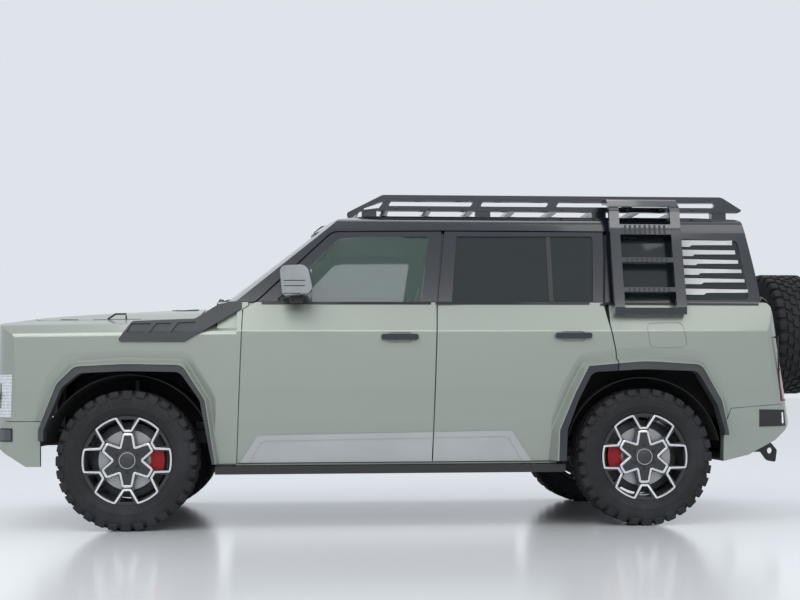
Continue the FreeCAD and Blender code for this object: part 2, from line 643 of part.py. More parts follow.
def build_front(scuttle):
    """Wings, hood, nose, bumper, lamps and cowl."""
    outer = front_body(0.0)
    shell = outer.cut(front_body(front_wall))
    arch_form, arch_trim = flare(front_arch_outer, front_arch_inner, front_x, sill_z - 5.0)
    well = prism_y(closed_arch(blend(front_arch_outer, front_arch_inner, 0.5), front_x, 200.0),
                   wheel_well_y, wide)
    wells = both(well)

    def hood_plan(grow):
        return [
            (cowl_x - grow, hood_half + grow), (nose_x - 290.0 + grow, hood_half + grow, 80.0),
            (nose_x - 195.0 + grow, 600.0 + grow, 60.0), (nose_x - 52.0 + grow, 0.0, 900.0),
            (nose_x - 195.0 + grow, -600.0 - grow, 60.0),
            (nose_x - 290.0 + grow, -hood_half - grow, 80.0), (cowl_x - grow, -hood_half - grow),
        ]

    hood_zone = prism_z(hood_plan(0.0), 1050.0, 1400.0)
    hood_hole = prism_z(hood_plan(9.0), 1050.0, 1400.0)
    cowl_zone = block(0.0, cowl_x - 6.0, -hood_half - 60.0, hood_half + 60.0, 1150.0, 1500.0)
    seam = bumper_seam_z
    bumper_zone = block(front_x + 440.0, nose_x + 50.0, -wide, wide, 0.0, seam)
    nose_zone = block(front_x + 525.0, nose_x + 50.0, -nose_half, nose_half, seam + 4.0, 1400.0)
    lamp_zone = block(nose_x - 190.0, nose_x + 50.0, lamp_inner_y, 935.0, 650.0, 892.0)
    lamps = both(lamp_zone)

    hood = outer.cut(front_body(front_wall + 4.0)).common(hood_zone)
    add("hood", hood)
    wing = left_half(shell)
    for zone in (hood_hole, cowl_zone, block(0.0, 4000.0, -wide, wide, 0.0, sill_z - 5.0)):
        wing = wing.cut(zone)
    wing = wing.cut(well).cut(nose_zone).cut(bumper_zone).cut(lamp_zone)
    wing = wing.cut(block(0.0, 4000.0, 0.0, hood_half - 60.0, 0.0, 1400.0))
    wing_flare = arch_form.cut(bumper_zone)
    wing = wing.cut(flare_bevel(front_arch_outer, front_arch_inner, front_x))
    wing = wing.fuse(wing_flare).cut(PARTS["body_side_left"])
    add("front_wings", both(wing))
    nose_panel = shell.common(nose_zone).cut(hood_hole).cut(lamps)
    nose_panel = nose_panel.cut(block(nose_x - 300.0, nose_x + 50.0, -560.0, 560.0, 696.0, 880.0))
    slats = [block(nose_x - 300.0, nose_x + 50.0, -570.0, 570.0, z, z + 12.0)
             for z in (726.0, 763.0, 800.0, 837.0)]
    slats += [block(nose_x - 300.0, nose_x + 50.0, y - 6.0, y + 6.0, 690.0, 886.0)
              for y in (-380.0, -190.0, 0.0, 190.0, 380.0)]
    slats = front_body(5.0).cut(front_body(front_wall)).common(fuse(slats))
    add("nose_panel", nose_panel.fuse(slats))
    lamp_seat = block(nose_x - 190.0 + seat_gap, nose_x + 50.0, lamp_inner_y + seat_gap,
                      935.0 - seat_gap, 650.0 + seat_gap, 892.0 - seat_gap)
    lamp = outer.cut(front_body(70.0)).common(lamp_seat)
    add("headlamps", both(lamp))
    bumper_form = block(front_x + 440.0, nose_x + 50.0, -wide, wide, 0.0, seam - 4.0)
    bumper = outer.cut(front_body(34.0)).common(bumper_form).cut(wells)
    bumper = bumper.cut(block(nose_x - 300.0, nose_x + 50.0, -430.0, 430.0, 512.0, 590.0))
    slats = [block(nose_x - 300.0, nose_x + 50.0, -440.0, 440.0, 545.0, 557.0)]
    slats += [block(nose_x - 300.0, nose_x + 50.0, y - 8.0, y + 8.0, 505.0, 597.0)
              for y in (-260.0, -87.0, 87.0, 260.0)]
    slats = front_body(6.0).cut(front_body(34.0)).common(fuse(slats))
    add("front_bumper", clear_of_frame(bumper.fuse(slats)))

    cowl = outer.cut(front_body(34.0)).common(
        block(screen_foot_x + 30.0, cowl_x - 6.0, -hood_half - 60.0, hood_half + 60.0, 1180.0, 1500.0))
    wall_x = screen_foot_x + 36.0
    firewall = block(wall_x, wall_x + 20.0, -700.0, 700.0, floor_z, 1262.0)
    rests = both(block(wall_x, cowl_x + 70.0, 600.0, 660.0, 1190.0, 1300.0))
    rests = rests.common(front_body(front_wall + 4.0 + seat_gap))
    cowl = cowl.cut(cabin(0.0, 0.0, 0.0)).fuse([firewall, scuttle, rests])
    add("cowl_panel", clear_of_frame(cowl.cut(both(front_well()))))

    vent = [
        (front_x + 66.0, 1078.0, 14.0), (front_x - 20.0, 1199.0, 30.0),
        (front_x - 376.0, 1212.0, 60.0), (front_x - 512.0, 1300.0, 20.0),
        (door_front_x - 18.0, 1322.0), (door_front_x - 20.0, 1274.0),
        (front_x - 322.0, 1078.0, 30.0),
    ]
    grown = side_form(12.0, door_front_x - 60.0, front_x + 100.0)
    trim = prism_y(vent, hood_half + 30.0, wide).common(grown).cut(outer).cut(cabin(0.0, 0.0, 0.0))
    under = side_form(4.0, door_front_x - 60.0, front_x + 100.0)
    for slot in (((-16.0, 1184.0), (-129.0, 1186.0), (-90.0, 1129.0), (13.0, 1129.0)),
                 ((-158.0, 1186.0), (-251.0, 1188.0), (-198.0, 1129.0), (-115.0, 1129.0)),
                 ((-281.0, 1189.0), (-394.0, 1196.0), (-330.0, 1139.0), (-237.0, 1129.0))):
        corners = [(front_x + dx, z, 6.0) for dx, z in slot]
        trim = trim.cut(prism_y(corners, 0.0, wide).cut(under))
    trim = trim.cut(prism_y(front_door_outline(panel_gap), 0.0, wide))
    add("vent_trims", both(trim))
    return arch_trim.cut(block(front_x, 4000.0, 0.0, wide, 0.0, 515.0))


def front_well():
    """Room that the left front wheel needs when it turns."""
    return Part.makeCylinder(liner_radius + 6.0, wide - 470.0, V(front_x, 470.0, wheel_z), V(0, 1, 0))


def ring(profile, centre):
    """Turn an (radius, y) outline about an axle along Y."""
    face = Part.Face(outline(profile, lambda u, v: V(centre[0] + u, centre[1] + v, centre[2])))
    return face.revolve(V(*centre), V(0, 1, 0), 360.0)


def facet_ring(profile, count):
    """Flat-faced ring about the Y axis; each (radius, y) is taken at the middle of a flat."""
    step = 2.0 * math.pi / count
    grow = 1.0 / math.cos(step / 2.0)
    faces = []
    for k in range(count):
        a = -math.pi / 2.0 + (k - 0.5) * step
        b = a + step
        for i in range(len(profile)):
            low, high = profile[i - 1], profile[i]
            corners = [V(p[0] * grow * math.cos(t), p[1], p[0] * grow * math.sin(t))
                       for p, t in ((low, a), (low, b), (high, b), (high, a))]
            faces.append(Part.Face(Part.makePolygon(corners + corners[:1])))
    shell = Part.makeShell(faces)
    shell.sewShape()
    solid = Part.makeSolid(shell)
    if solid.Volume < 0.0:
        solid.reverse()
    return solid


def make_tyre():
    """Mud tyre about the Y axis, with one row of chunky lugs right across the tread."""
    half = tyre_width / 2.0
    bead = rim_radius + 0.4
    outside = [(bead, half - 28.0), (bead + 60.0, half), (tyre_radius - 31.0, half - 13.0)]
    inside = [(bead, half - 44.0), (tyre_radius - 38.0, half - 40.0)]
    profile = [(r, -y) for r, y in outside] + outside[::-1] + inside + [(r, -y) for r, y in inside[::-1]]
    carcass = facet_ring(profile, lug_count)
    pitch = 360.0 / lug_count
    gear = []
    for k in range(lug_count):
        lug = [(tyre_radius - lug_depth, -30.0), (tyre_radius, -27.0), (tyre_radius, 27.0),
               (tyre_radius - lug_depth, 30.0)]
        gear += turned(lug, -90.0 + k * pitch)
    reach = (tyre_radius - 36.0) / math.cos(math.radians(pitch / 2.0))
    bore = [(reach * math.cos(math.radians(-90.0 + (k + 0.5) * pitch)),
             reach * math.sin(math.radians(-90.0 + (k + 0.5) * pitch))) for k in range(lug_count)]
    side = half - 12.0
    tread = prism_y(gear, -side, side).cut(prism_y(bore, -half, half))
    return carcass.fuse(tread)


def turned(points, angle):
    """Outline points turned about the axle."""
    c, s = math.cos(math.radians(angle)), math.sin(math.radians(angle))
    return [(p[0] * c - p[1] * s, p[0] * s + p[1] * c) + tuple(p[2:]) for p in points]


spoke_window = [
    (236.0, 58.0), (150.0, 53.0), (98.0, 0.0), (150.0, -53.0), (236.0, -58.0),
]
fork_window = [
    (234.0, 40.0), (172.0, 13.0), (172.0, -13.0), (234.0, -40.0),
]


def rim(centre, outward, hub_bore):
    """Six-armed rim with forked spokes, its barrel, hub and brake disc; outward is +1 on the left."""
    x, y, z = centre
    half = tyre_width / 2.0
    face = (half - 26.0) * outward
    inner = -(half - 24.0) * outward
    barrel_outline = [
        (rim_radius, face), (rim_radius - 14.0, face), (rim_radius - 24.0, face - 60.0 * outward),
        (rim_radius - 24.0, inner + 10.0 * outward), (rim_radius - 12.0, inner),
        (rim_radius, inner), (rim_radius, inner + 40.0 * outward),
        (rim_radius - 10.0, inner + 60.0 * outward), (rim_radius - 10.0, face - 60.0 * outward),
        (rim_radius, face - 40.0 * outward),
    ]
    barrel = ring(barrel_outline, centre)
    disc_outline = [
        (0.0, face - 12.0 * outward), (60.0, face - 12.0 * outward),
        (150.0, face - 20.0 * outward), (rim_radius - 12.0, face - 4.0 * outward),
        (rim_radius - 12.0, face - 34.0 * outward), (150.0, face - 50.0 * outward),
        (60.0, face - 52.0 * outward), (0.0, face - 52.0 * outward),
    ]
    disc = ring(disc_outline, centre)
    for k in range(6):
        for points, start in ((spoke_window, 0.0), (fork_window, 30.0)):
            shape = turned(points, start + 60.0 * k)
            cut = prism_y([(x + p[0], z + p[1]) + tuple(p[2:]) for p in shape], y - half, y + half)
            disc = disc.cut(cut)
    hub = Part.makeCylinder(62.0, 66.0, V(x, y + (face - 100.0 * outward), z), V(0, outward, 0))
    rotor_y = y + face - 84.0 * outward
    rotor = Part.makeCylinder(172.0, 24.0, V(x, rotor_y - 12.0, z), V(0, 1, 0))
    shape = fuse([barrel, disc, hub, rotor])
    bore = Part.makeCylinder(hub_bore, 88.0, V(x, y + (face - 110.0 * outward), z), V(0, outward, 0))
    return shape.cut(bore)


def caliper(centre, outward, side):
    """Brake caliper round the disc edge; side is -1 behind the axle and +1 ahead of it."""
    x, y, z = centre
    face = tyre_width / 2.0 - 26.0
    middle = y + (face - 84.0) * outward
    body = Part.makeCylinder(206.0, 62.0, V(x, middle - 38.0, z), V(0, 1, 0))
    body = body.cut(Part.makeCylinder(128.0, 62.0, V(x, middle - 38.0, z), V(0, 1, 0)))
    wedge = prism_y([(x, z), (x + side * 300.0, z + 130.0), (x + side * 300.0, z - 130.0)],
                    middle - 60.0, middle + 60.0)
    slot = Part.makeCylinder(179.0, 36.0, V(x, middle - 18.0, z), V(0, 1, 0))
    return body.common(wedge).cut(slot)


def build_wheels():
    """Five wheels; the front pair turn on knuckles, the fifth hangs on the tailgate."""
    tyre = make_tyre()
    for name, axle_x in (("front", front_x), ("rear", rear_x)):
        centre = (axle_x, half_track, wheel_z)
        tyre_form = tyre.copy()
        tyre_form.translate(V(*centre))
        rim_form = rim(centre, 1.0, spindle_radius + 0.4)
        for end, form in (("left", lambda s: s), ("right", mirrored)):
            add("tyre_%s_%s" % (name, end), form(tyre_form))
            add("rim_%s_%s" % (name, end), form(rim_form))
    spare_x = spare_back_x + tyre_width / 2.0
    for name, form in (("spare_tyre", tyre), ("spare_rim", rim((0.0, 0.0, 0.0), 1.0, 20.0))):
        form.rotate(V(0, 0, 0), V(0, 0, 1), 90.0)
        form.translate(V(spare_x, 0, spare_z))
        add(name, form)
    hub_back = spare_x - (tyre_width / 2.0 - 26.0 - 100.0)
    post = rod((hub_back, 0.0, spare_z), (tail_low_x + 200.0, 0.0, spare_z), 52.0)
    plate = rod((tail_low_x - 60.0, 0.0, spare_z), (tail_low_x + 200.0, 0.0, spare_z), 105.0)
    arm = block(tail_low_x - 20.0, tail_low_x + 200.0, -560.0, 0.0, spare_z - 60.0, spare_z + 60.0)
    add("spare_carrier", fuse([post, plate, arm]).cut(cabin(0.0, 0.0, 0.0)))


def clear_of_frame(shape):
    """The same shape, stopped where it meets the ladder frame."""
    return shape.cut(PARTS["chassis_frame"]).cut(PARTS["frame_members"])


def build_running_gear():
    """Ladder frame, knuckles, suspension arms and rear axle."""
    rail = [
        (nose_x - 150.0, 470.0), (nose_x - 150.0, 550.0), (front_x - 420.0, 560.0, 120.0),
        (front_x - 620.0, 450.0, 120.0), (rear_x + 640.0, 450.0, 120.0),
        (rear_x + 420.0, 600.0, 120.0), (rear_x - 420.0, 600.0, 120.0),
        (rear_x - 600.0, 470.0, 100.0), (tail_low_x + 30.0, 460.0),
        (tail_low_x + 30.0, 400.0), (rear_x - 640.0, 400.0, 100.0), (rear_x - 440.0, 520.0, 100.0),
        (rear_x + 380.0, 520.0, 100.0), (rear_x + 600.0, 365.0, 120.0),
        (front_x - 640.0, 365.0, 120.0), (front_x - 440.0, 480.0, 100.0),
    ]
    pieces = []
    for x, z in ((nose_x - 220.0, 510.0), (front_x + 300.0, 515.0), (front_x - 300.0, 515.0),
                 (front_x - 900.0, 408.0), (rear_x + 900.0, 408.0), (rear_x + 260.0, 560.0),
                 (rear_x - 560.0, 460.0)):
        pieces.append(rod((x, -rail_y - 20.0, z), (x, rail_y + 20.0, z), 30.0))
    for x in (front_x - 800.0, front_x - 1600.0, rear_x + 760.0):
        for side in (1.0, -1.0):
            y = side * (rail_y + rail_width / 2.0)
            pieces.append(rod((x, y, 440.0), (x, y, floor_z), 38.0))
    hook = [
        (tail_low_x + 80.0, 462.0, 10.0), (tail_low_x - 40.0, 462.0, 30.0),
        (tail_low_x - 82.0, 410.0, 20.0), (tail_low_x - 70.0, 334.0, 12.0),
        (tail_low_x - 20.0, 344.0, 30.0), (tail_low_x + 20.0, 400.0, 20.0),
        (tail_low_x + 80.0, 402.0),
    ]
    eye = rod((tail_low_x - 38.0, 0.0, 406.0), (tail_low_x - 38.0, 900.0, 406.0), hook_eye_radius)
    plate = prism_y(hook, rail_y + 20.0, rail_y + 50.0).cut(eye)
    rails = both(fuse([prism_y(rail, rail_y, rail_y + rail_width), plate]))
    add("chassis_frame", rails)
    add("frame_members", Part.makeCompound([piece.cut(rails) for piece in pieces]))

    centre = (front_x, half_track, wheel_z)
    top, low = wheel_z + 160.0, wheel_z - 160.0
    face = half_track + tyre_width / 2.0 - 26.0
    carrier_end = face - 108.0
    knuckle = [
        rod((front_x, kingpin_y, low), (front_x, kingpin_y, top), 30.0),
        rod((front_x, kingpin_y, wheel_z), (front_x, carrier_end, wheel_z), 65.0),
        rod((front_x, carrier_end - 20.0, wheel_z), (front_x, face - 24.0, wheel_z), spindle_radius),
        block(front_x - 150.0, front_x - 20.0, kingpin_y + 25.0, face - 120.0,
              wheel_z - 36.0, wheel_z + 36.0),
        caliper(centre, 1.0, -1.0),
    ]
    knuckle = fuse(knuckle)
    add("knuckle_left", knuckle)
    add("knuckle_right", mirrored(knuckle))

    def arm(z0, z1):
        shape = [
            (front_x + 36.0, kingpin_y - 10.0), (front_x, kingpin_y + 34.0, 34.0),
            (front_x - 36.0, kingpin_y - 10.0), (front_x - 190.0, rail_y + rail_width + 20.0, 20.0),
            (front_x - 190.0, rail_y + rail_width - 40.0), (front_x - 120.0, rail_y + rail_width - 40.0),
            (front_x, 600.0, 40.0), (front_x + 120.0, rail_y + rail_width - 40.0),
            (front_x + 190.0, rail_y + rail_width - 40.0), (front_x + 190.0, rail_y + rail_width + 20.0, 20.0),
        ]
        return prism_z(shape, z0, z1)

    left = [
        arm(low - 30.3, low - 0.3), arm(top + 0.3, top + 20.3),
        block(front_x - 170.0, front_x - 140.0, rail_y + 10.0, rail_y + rail_width, low - 30.0, 480.0),
        block(front_x + 140.0, front_x + 170.0, rail_y + 10.0, rail_y + rail_width, low - 30.0, 480.0),
        rod((front_x, 560.0, low - 10.0), (front_x, 520.0, 860.0), 24.0),
        rod((front_x, 546.0, 420.0), (front_x, 524.0, 800.0), 52.0),
        rod((front_x, 0.0, wheel_z), (front_x, kingpin_y - 31.0, wheel_z), 22.0),
    ]
    middle = Part.makeSphere(120.0, V(front_x, 0, wheel_z))
    cross = [block(front_x + dx - 20.0, front_x + dx + 20.0, -rail_y - 20.0, rail_y + 20.0, low - 30.0,
                   low + 20.0) for dx in (-155.0, 155.0)]
    cross.append(block(front_x - 160.0, front_x + 160.0, -40.0, 40.0, low - 20.0, low + 80.0))
    suspension = fuse(left + [mirrored(s) for s in left] + [middle] + cross)
    add("front_suspension", clear_of_frame(suspension))

    axle_centre = (rear_x, half_track, wheel_z)
    half_axle = [
        rod((rear_x, 0.0, wheel_z), (rear_x, carrier_end, wheel_z), 48.0),
        rod((rear_x, carrier_end - 20.0, wheel_z), (rear_x, face - 24.0, wheel_z), spindle_radius),
        block(rear_x + 20.0, rear_x + 150.0, carrier_end - 60.0, face - 120.0,
              wheel_z - 36.0, wheel_z + 36.0),
        caliper(axle_centre, 1.0, 1.0),
        rod((rear_x + 640.0, rail_y - 30.0, 392.0), (rear_x, rail_y + 130.0, wheel_z - 40.0), 26.0),
        rod((rear_x, rail_y + 110.0, wheel_z + 30.0), (rear_x, rail_y + 70.0, 600.0), 50.0),
    ]
    diff = Part.makeSphere(150.0, V(rear_x, 0, wheel_z))
    shaft = rod((rear_x, 0.0, wheel_z + 4.0), (front_x - 700.0, 0.0, 440.0), 32.0)
    axle = fuse(half_axle + [mirrored(s) for s in half_axle] + [diff, shaft])
    add("rear_axle", clear_of_frame(axle))

    step = block(rear_x + 476.0, front_x - 499.0, 790.0, rocker_y + 38.0, step_low_z, step_top_z)
    brackets = [rod((x, rail_y + rail_width, 400.0), (x, 830.0, step_low_z + 22.0), 20.0)
                for x in (front_x - 760.0, front_x - 1480.0, rear_x + 700.0)]
    add("sill_steps", both(clear_of_frame(fuse([step] + brackets))))


def build_floor():
    """Floor, wheel-arch liners and engine."""
    deck = 16.0
    sill_x = tail_low_x + 104.0
    upper = [(screen_foot_x + 36.0, floor_z), (rear_x + 620.0, floor_z), (cargo_front_x, cargo_z),
             (sill_x, cargo_z), (sill_x, tailgate_low_z - 14.0)]
    lower = [(sill_x - deck, tailgate_low_z - 14.0), (sill_x - deck, cargo_z - deck),
             (cargo_front_x - 10.0, cargo_z - deck), (rear_x + 610.0, floor_z - deck),
             (screen_foot_x + 36.0, floor_z - deck)]
    pan = prism_y(upper + lower, -780.0, 780.0)
    pan = pan.cut(both(block(rear_x - 520.0, rear_x + 520.0, 600.0, wide, 0.0, 1000.0)))
    for name in ("chassis_frame", "frame_members", "body_side_left", "body_side_right"):
        pan = pan.cut(PARTS[name])
    add("floor_pan", pan.cut(both(front_well())))

    liners = []
    for axle_x, radius, inner_y in ((front_x, liner_radius, 478.0), (rear_x, liner_radius - 24.0, 604.0)):
        start, length = V(axle_x, inner_y, wheel_z), rocker_y - 10.0 - inner_y
        band = Part.makeCylinder(radius + 6.0, length, start, V(0, 1, 0))
        band = band.cut(Part.makeCylinder(radius, length, start, V(0, 1, 0)))
        band = band.common(block(axle_x - 600.0, axle_x + 600.0, 0.0, wide, wheel_z + 90.0, 1000.0))
        wall = Part.makeCylinder(radius + 6.0, 6.0, start, V(0, 1, 0))
        wall = wall.common(block(axle_x - 600.0, axle_x + 600.0, 0.0, wide, 610.0, 1000.0))
        liner = band.fuse(wall)
        liners += [liner, mirrored(liner)]
    liners = Part.makeCompound(liners)
    for name in ("arch_trims", "front_suspension", "floor_pan"):
        liners = liners.cut(PARTS[name])
    add("arch_liners", liners)
    engine = block(front_x - 330.0, front_x + 420.0, -290.0, 290.0, 545.3, 980.0)
    add("engine_block", engine)


def build_interior():
    """Dashboard, steering wheel and seats."""
    dash = [
        (screen_foot_x + 36.0, 900.0), (screen_foot_x + 36.0, 1225.0, 30.0),
        (screen_foot_x - 330.0, 1235.0, 40.0), (screen_foot_x - 420.0, 1130.0, 50.0),
        (screen_foot_x - 340.0, 880.0, 40.0), (screen_foot_x - 100.0, 820.0, 60.0),
    ]
    console = block(front_x - 1750.0, screen_foot_x - 200.0, -130.0, 130.0, floor_z, 870.0)
    column = V(screen_foot_x - 560.0, 390.0, 1120.0)
    tilt = V(-math.cos(math.radians(24.0)), 0, math.sin(math.radians(24.0)))
    stem_end = 236.0
    sleeve = Part.makeCylinder(26.0 + seat_gap, 190.0, column - tilt * (stem_end + seat_gap), tilt)
    dashboard = prism_y(dash, -745.0, 745.0).fuse(console).cut(PARTS["cowl_panel"]).cut(sleeve)
    add("dashboard", dashboard)
    grip = [(176.0 + 15.0 * math.cos(math.radians(a)), 15.0 * math.sin(math.radians(a)))
            for a in range(0, 360, 45)]
    ring_form = ring(grip, (0.0, 0.0, 0.0))
    ring_form.rotate(V(0, 0, 0), V(1, 0, 0), 90.0)
    ring_form.rotate(V(0, 0, 0), V(0, 1, 0), -66.0)
    ring_form.translate(column)
    hub = Part.makeCylinder(62.0, 40.0, column - tilt * 40.0, tilt)
    across = Part.makeBox(330.0, 34.0, 18.0, V(-165.0, -17.0, -26.0))
    across.rotate(V(0, 0, 0), V(0, 0, 1), 90.0)
    across.rotate(V(0, 0, 0), V(0, 1, 0), -66.0)
    across.translate(column)
    stem = Part.makeCylinder(26.0, 200.0, column - tilt * stem_end, tilt)
    add("steering_wheel", fuse([ring_form, hub, across, stem]))

    def seat(x, y0, y1, floor):
        shape = [
            (x + 230.0, floor), (x + 250.0, 700.0, 40.0), (x + 270.0, 830.0, 60.0),
            (x - 130.0, 790.0, 70.0), (x - 250.0, 1260.0, 50.0), (x - 380.0, 1250.0, 60.0),
            (x - 270.0, 690.0, 80.0), (x - 200.0, floor),
        ]
        return prism_y(shape, y0, y1)

    def head(x, y):
        shape = [
            (x - 262.0, 1235.0), (x - 275.0, 1450.0, 40.0), (x - 385.0, 1440.0, 40.0),
            (x - 362.0, 1235.0),
        ]
        return prism_y(shape, y - 130.0, y + 130.0)

    front_seat = seat(front_seat_x, 150.0, 670.0, floor_z).fuse(head(front_seat_x, 410.0))
    add("front_seats", both(front_seat))
    bench = seat(rear_seat_x, -690.0, 690.0, floor_z)
    heads = [head(rear_seat_x, y) for y in (-430.0, 0.0, 430.0)]
    under_floor = [(rear_x + 620.0 + 500.0, floor_z), (rear_x + 620.0, floor_z), (cargo_front_x, cargo_z),
                   (rear_x, cargo_z), (rear_x, 0.0), (rear_x + 620.0 + 500.0, 0.0)]
    add("rear_bench", fuse([bench] + heads).cut(prism_y(under_floor, -wide, wide)))


def build_fittings():
    """Roof rack, side ladder, door mirrors and the bump over the windscreen."""
    outer = cabin(0.0, 0.0, 0.0)
    front = front_x - 1258.0
    back = rear_x - 720.0
    frame = [
        (front - 16.0, 1826.0, 8.0), (front, 1872.0, 20.0), (front - 222.0, rack_top_z, 60.0),
        (back + 134.0, rack_top_z, 60.0), (back, 1902.0, 20.0), (back + 30.0, 1888.0, 10.0),
        (front - 90.0, 1888.0, 30.0),
    ]
    plate = prism_y(frame, rack_half - 40.0, rack_half)
    posts = [front - 225.0, front - 790.0, front - 1260.0, front - 1730.0, back + 160.0]
    for k in range(len(posts) - 1):
        hi, lo = posts[k], posts[k + 1]
        slot = [(hi - 30.0, 1918.0, 6.0), (hi - 52.0, 1948.0, 6.0), (lo + 8.0, 1948.0, 6.0),
                (lo + 30.0, 1918.0, 6.0)]
        plate = plate.cut(prism_y(slot, rack_half - 60.0, rack_half + 20.0))
    nose_slot = [(front - 60.0, 1888.0, 6.0), (front - 232.0, 1950.0, 6.0), (front - 200.0, 1905.0, 6.0)]
    plate = plate.cut(prism_y(nose_slot, rack_half - 60.0, rack_half + 20.0))
    feet = [block(x - 45.0, x + 45.0, rack_half - 60.0, rack_half - 6.0, 1780.0, 1895.0)
            for x in (front - 140.0, front - 840.0, front - 1560.0, back + 150.0)]
    sides = [plate] + feet
    bars = [block(x - 22.0, x + 22.0, -rack_half + 20.0, rack_half - 20.0, 1892.0, 1914.0)
            for x in [front - 240.0 - 262.0 * k for k in range(8)]]
    front_bar = rod((front - 60.0, -rack_half + 20.0, 1880.0), (front - 60.0, rack_half - 20.0, 1880.0), 16.0)
    rack = fuse(sides + [mirrored(s) for s in sides] + bars + [front_bar])
    add("roof_rack", rack.cut(outer))

    side = [
        (962.0, 1236.0), (966.0, 1280.0, 20.0), (866.0, 1760.0, 200.0), (850.0, 1890.0, 60.0),
        (780.0, 1950.0, 60.0), (rack_half, 1958.0), (rack_half, 1930.0), (770.0, 1924.0, 40.0),
        (820.0, 1876.0, 40.0), (838.0, 1756.0, 200.0), (936.0, 1278.0, 20.0), (938.0, 1236.0),
    ]
    parts = []
    for x in (ladder_x, ladder_x - ladder_width + 60.0):
        parts.append(prism_x(side, x - 60.0, x))
        parts.append(block(x - 60.0, x, 800.0, 940.0, 1238.0, 1276.0))
    slab = prism_x(side, ladder_x - ladder_width, ladder_x)
    for z0, z1 in ((1236.0, 1276.0), (1372.0, 1400.0), (1552.0, 1582.0), (1724.0, 1786.0)):
        parts.append(slab.common(block(-4000.0, 4000.0, 0.0, wide, z0, z1)))
    parts.append(slab.common(block(-4000.0, 4000.0, 0.0, 850.0, 1900.0, 1980.0)))
    add("side_ladder", fuse(parts).cut(outer))

    shell = prism_y([(mirror_x - 8.0, 1334.0, 30.0), (mirror_x + 8.0, 1506.0, 30.0),
                     (mirror_x - 150.0, 1512.0, 50.0), (mirror_x - 186.0, 1350.0, 40.0)], 935.0, mirror_y)
    shell = shell.common(prism_z([(mirror_x + 10.0, 925.0), (mirror_x + 8.0, mirror_y, 70.0),
                                  (mirror_x - 190.0, mirror_y, 30.0), (mirror_x - 190.0, 925.0)],
                                 1300.0, 1550.0))
    foot = block(mirror_x - 120.0, mirror_x - 50.0, 860.0, 1010.0, 1306.0, 1345.0)
    mirror = shell.fuse(foot).removeSplitter().cut(outer)
    add("mirror_left", mirror)
    add("mirror_right", mirrored(mirror))


def rear_bumper_outline(grow):
    """Side view of the rear bumper under the seam that rises to the tail."""
    return [
        (rear_x - 480.0 + grow, 200.0), (rear_x - 480.0 + grow, 560.0), (rear_x - 524.0 + grow, 680.0 + grow),
        (tail_low_x - 80.0, 716.0 + grow), (tail_low_x - 80.0, 200.0),
    ]


build_running_gear()
rear_trim, scuttle = build_cabin()
front_trim = build_front(scuttle)
add("arch_trims", Part.makeCompound([front_trim, mirrored(front_trim), rear_trim, mirrored(rear_trim)]))
build_wheels()
build_floor()
build_interior()
build_fittings()

os.makedirs("parts", exist_ok=True)
for name, shape in PARTS.items():
    shape.exportStep("parts/%s.step" % name)
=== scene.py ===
import math

import bmesh
import bpy
from mathutils import Matrix, Vector
from mathutils.bvhtree import BVHTree


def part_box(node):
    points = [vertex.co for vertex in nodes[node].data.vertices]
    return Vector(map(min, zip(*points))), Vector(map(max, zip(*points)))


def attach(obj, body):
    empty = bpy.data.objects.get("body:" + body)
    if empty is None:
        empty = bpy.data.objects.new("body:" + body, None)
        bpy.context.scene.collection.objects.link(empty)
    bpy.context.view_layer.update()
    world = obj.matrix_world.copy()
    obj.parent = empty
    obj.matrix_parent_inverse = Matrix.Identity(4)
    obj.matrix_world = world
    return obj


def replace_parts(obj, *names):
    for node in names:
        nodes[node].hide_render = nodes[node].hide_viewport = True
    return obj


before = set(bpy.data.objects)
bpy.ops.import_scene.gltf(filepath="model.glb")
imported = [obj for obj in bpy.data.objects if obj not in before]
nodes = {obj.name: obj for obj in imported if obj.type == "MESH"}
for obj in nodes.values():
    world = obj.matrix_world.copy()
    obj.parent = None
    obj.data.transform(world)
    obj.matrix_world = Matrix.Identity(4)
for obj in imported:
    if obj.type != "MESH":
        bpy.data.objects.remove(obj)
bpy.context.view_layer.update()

# Vehicle, in metres: +X forward, +Y to its left, +Z up
WHEELBASE = 3.005
FRONT_X = 1.743
REAR_X = FRONT_X - WHEELBASE
TAIL_X = REAR_X - 0.911
WHEEL_Y = 0.8175
TYRE_RADIUS = 0.4
TYRE_HALF = 0.1375
BEAD_RADIUS = 0.2544
BELT_Z = 1.305
SCREEN_FOOT_Z = 1.28
BODY_Y = 0.945
MIDDLE_X = (FRONT_X + REAR_X) / 2.0
SPARE_PLACE = Vector((REAR_X - 1.313 + TYRE_HALF, 0.0, 1.165))

# Camera, fitted to the wheels and the ground in the photograph; lens and sensor in millimetres
CAMERA_PLACE = Vector((0.6935, 8.089, 0.771))
CAMERA_YAW = math.radians(-4.121)
CAMERA_PITCH = math.radians(4.388)
CAMERA_ROLL = math.radians(-0.224)
CAMERA_LENS = 55.35
CAMERA_SENSOR = 36.0

# Fields of colour on the panels: half width where there is one, then lowest and highest
FRONT_FIELDS = {"nose": (0.562, 0.6955, 0.8805), "bumper": (0.432, 0.5115, 0.5905)}
FRONT_FIELD_X = 2.2
STEP_FIELD = (0.612, 0.698)
HANDLE_FIELD = (1.085, 1.132)
# Upper edges of the rear doors' arch lip and of the sill cladding, as (slope, height at x = 0)
ARCH_LIP = ((-0.08444, 0.85427), (-1.8727, -0.80257), (-2.2895, -1.15434), (-21.75, -15.7303))
ARCH_LIP_X = -0.7
SILL_TOP = ((-0.014, 0.5517), (-1.578, 2.121), (1.527, 1.283))
SILL_Y = 0.88
# Rings about the axles, as (smallest, largest) radius, and where they lie across the vehicle
CALIPER_RING = (0.127, 0.215)
CALIPER_Y = 0.805
DISC_RING = (0.063, 0.1735)
DISC_Y = (0.8315, 0.8585)

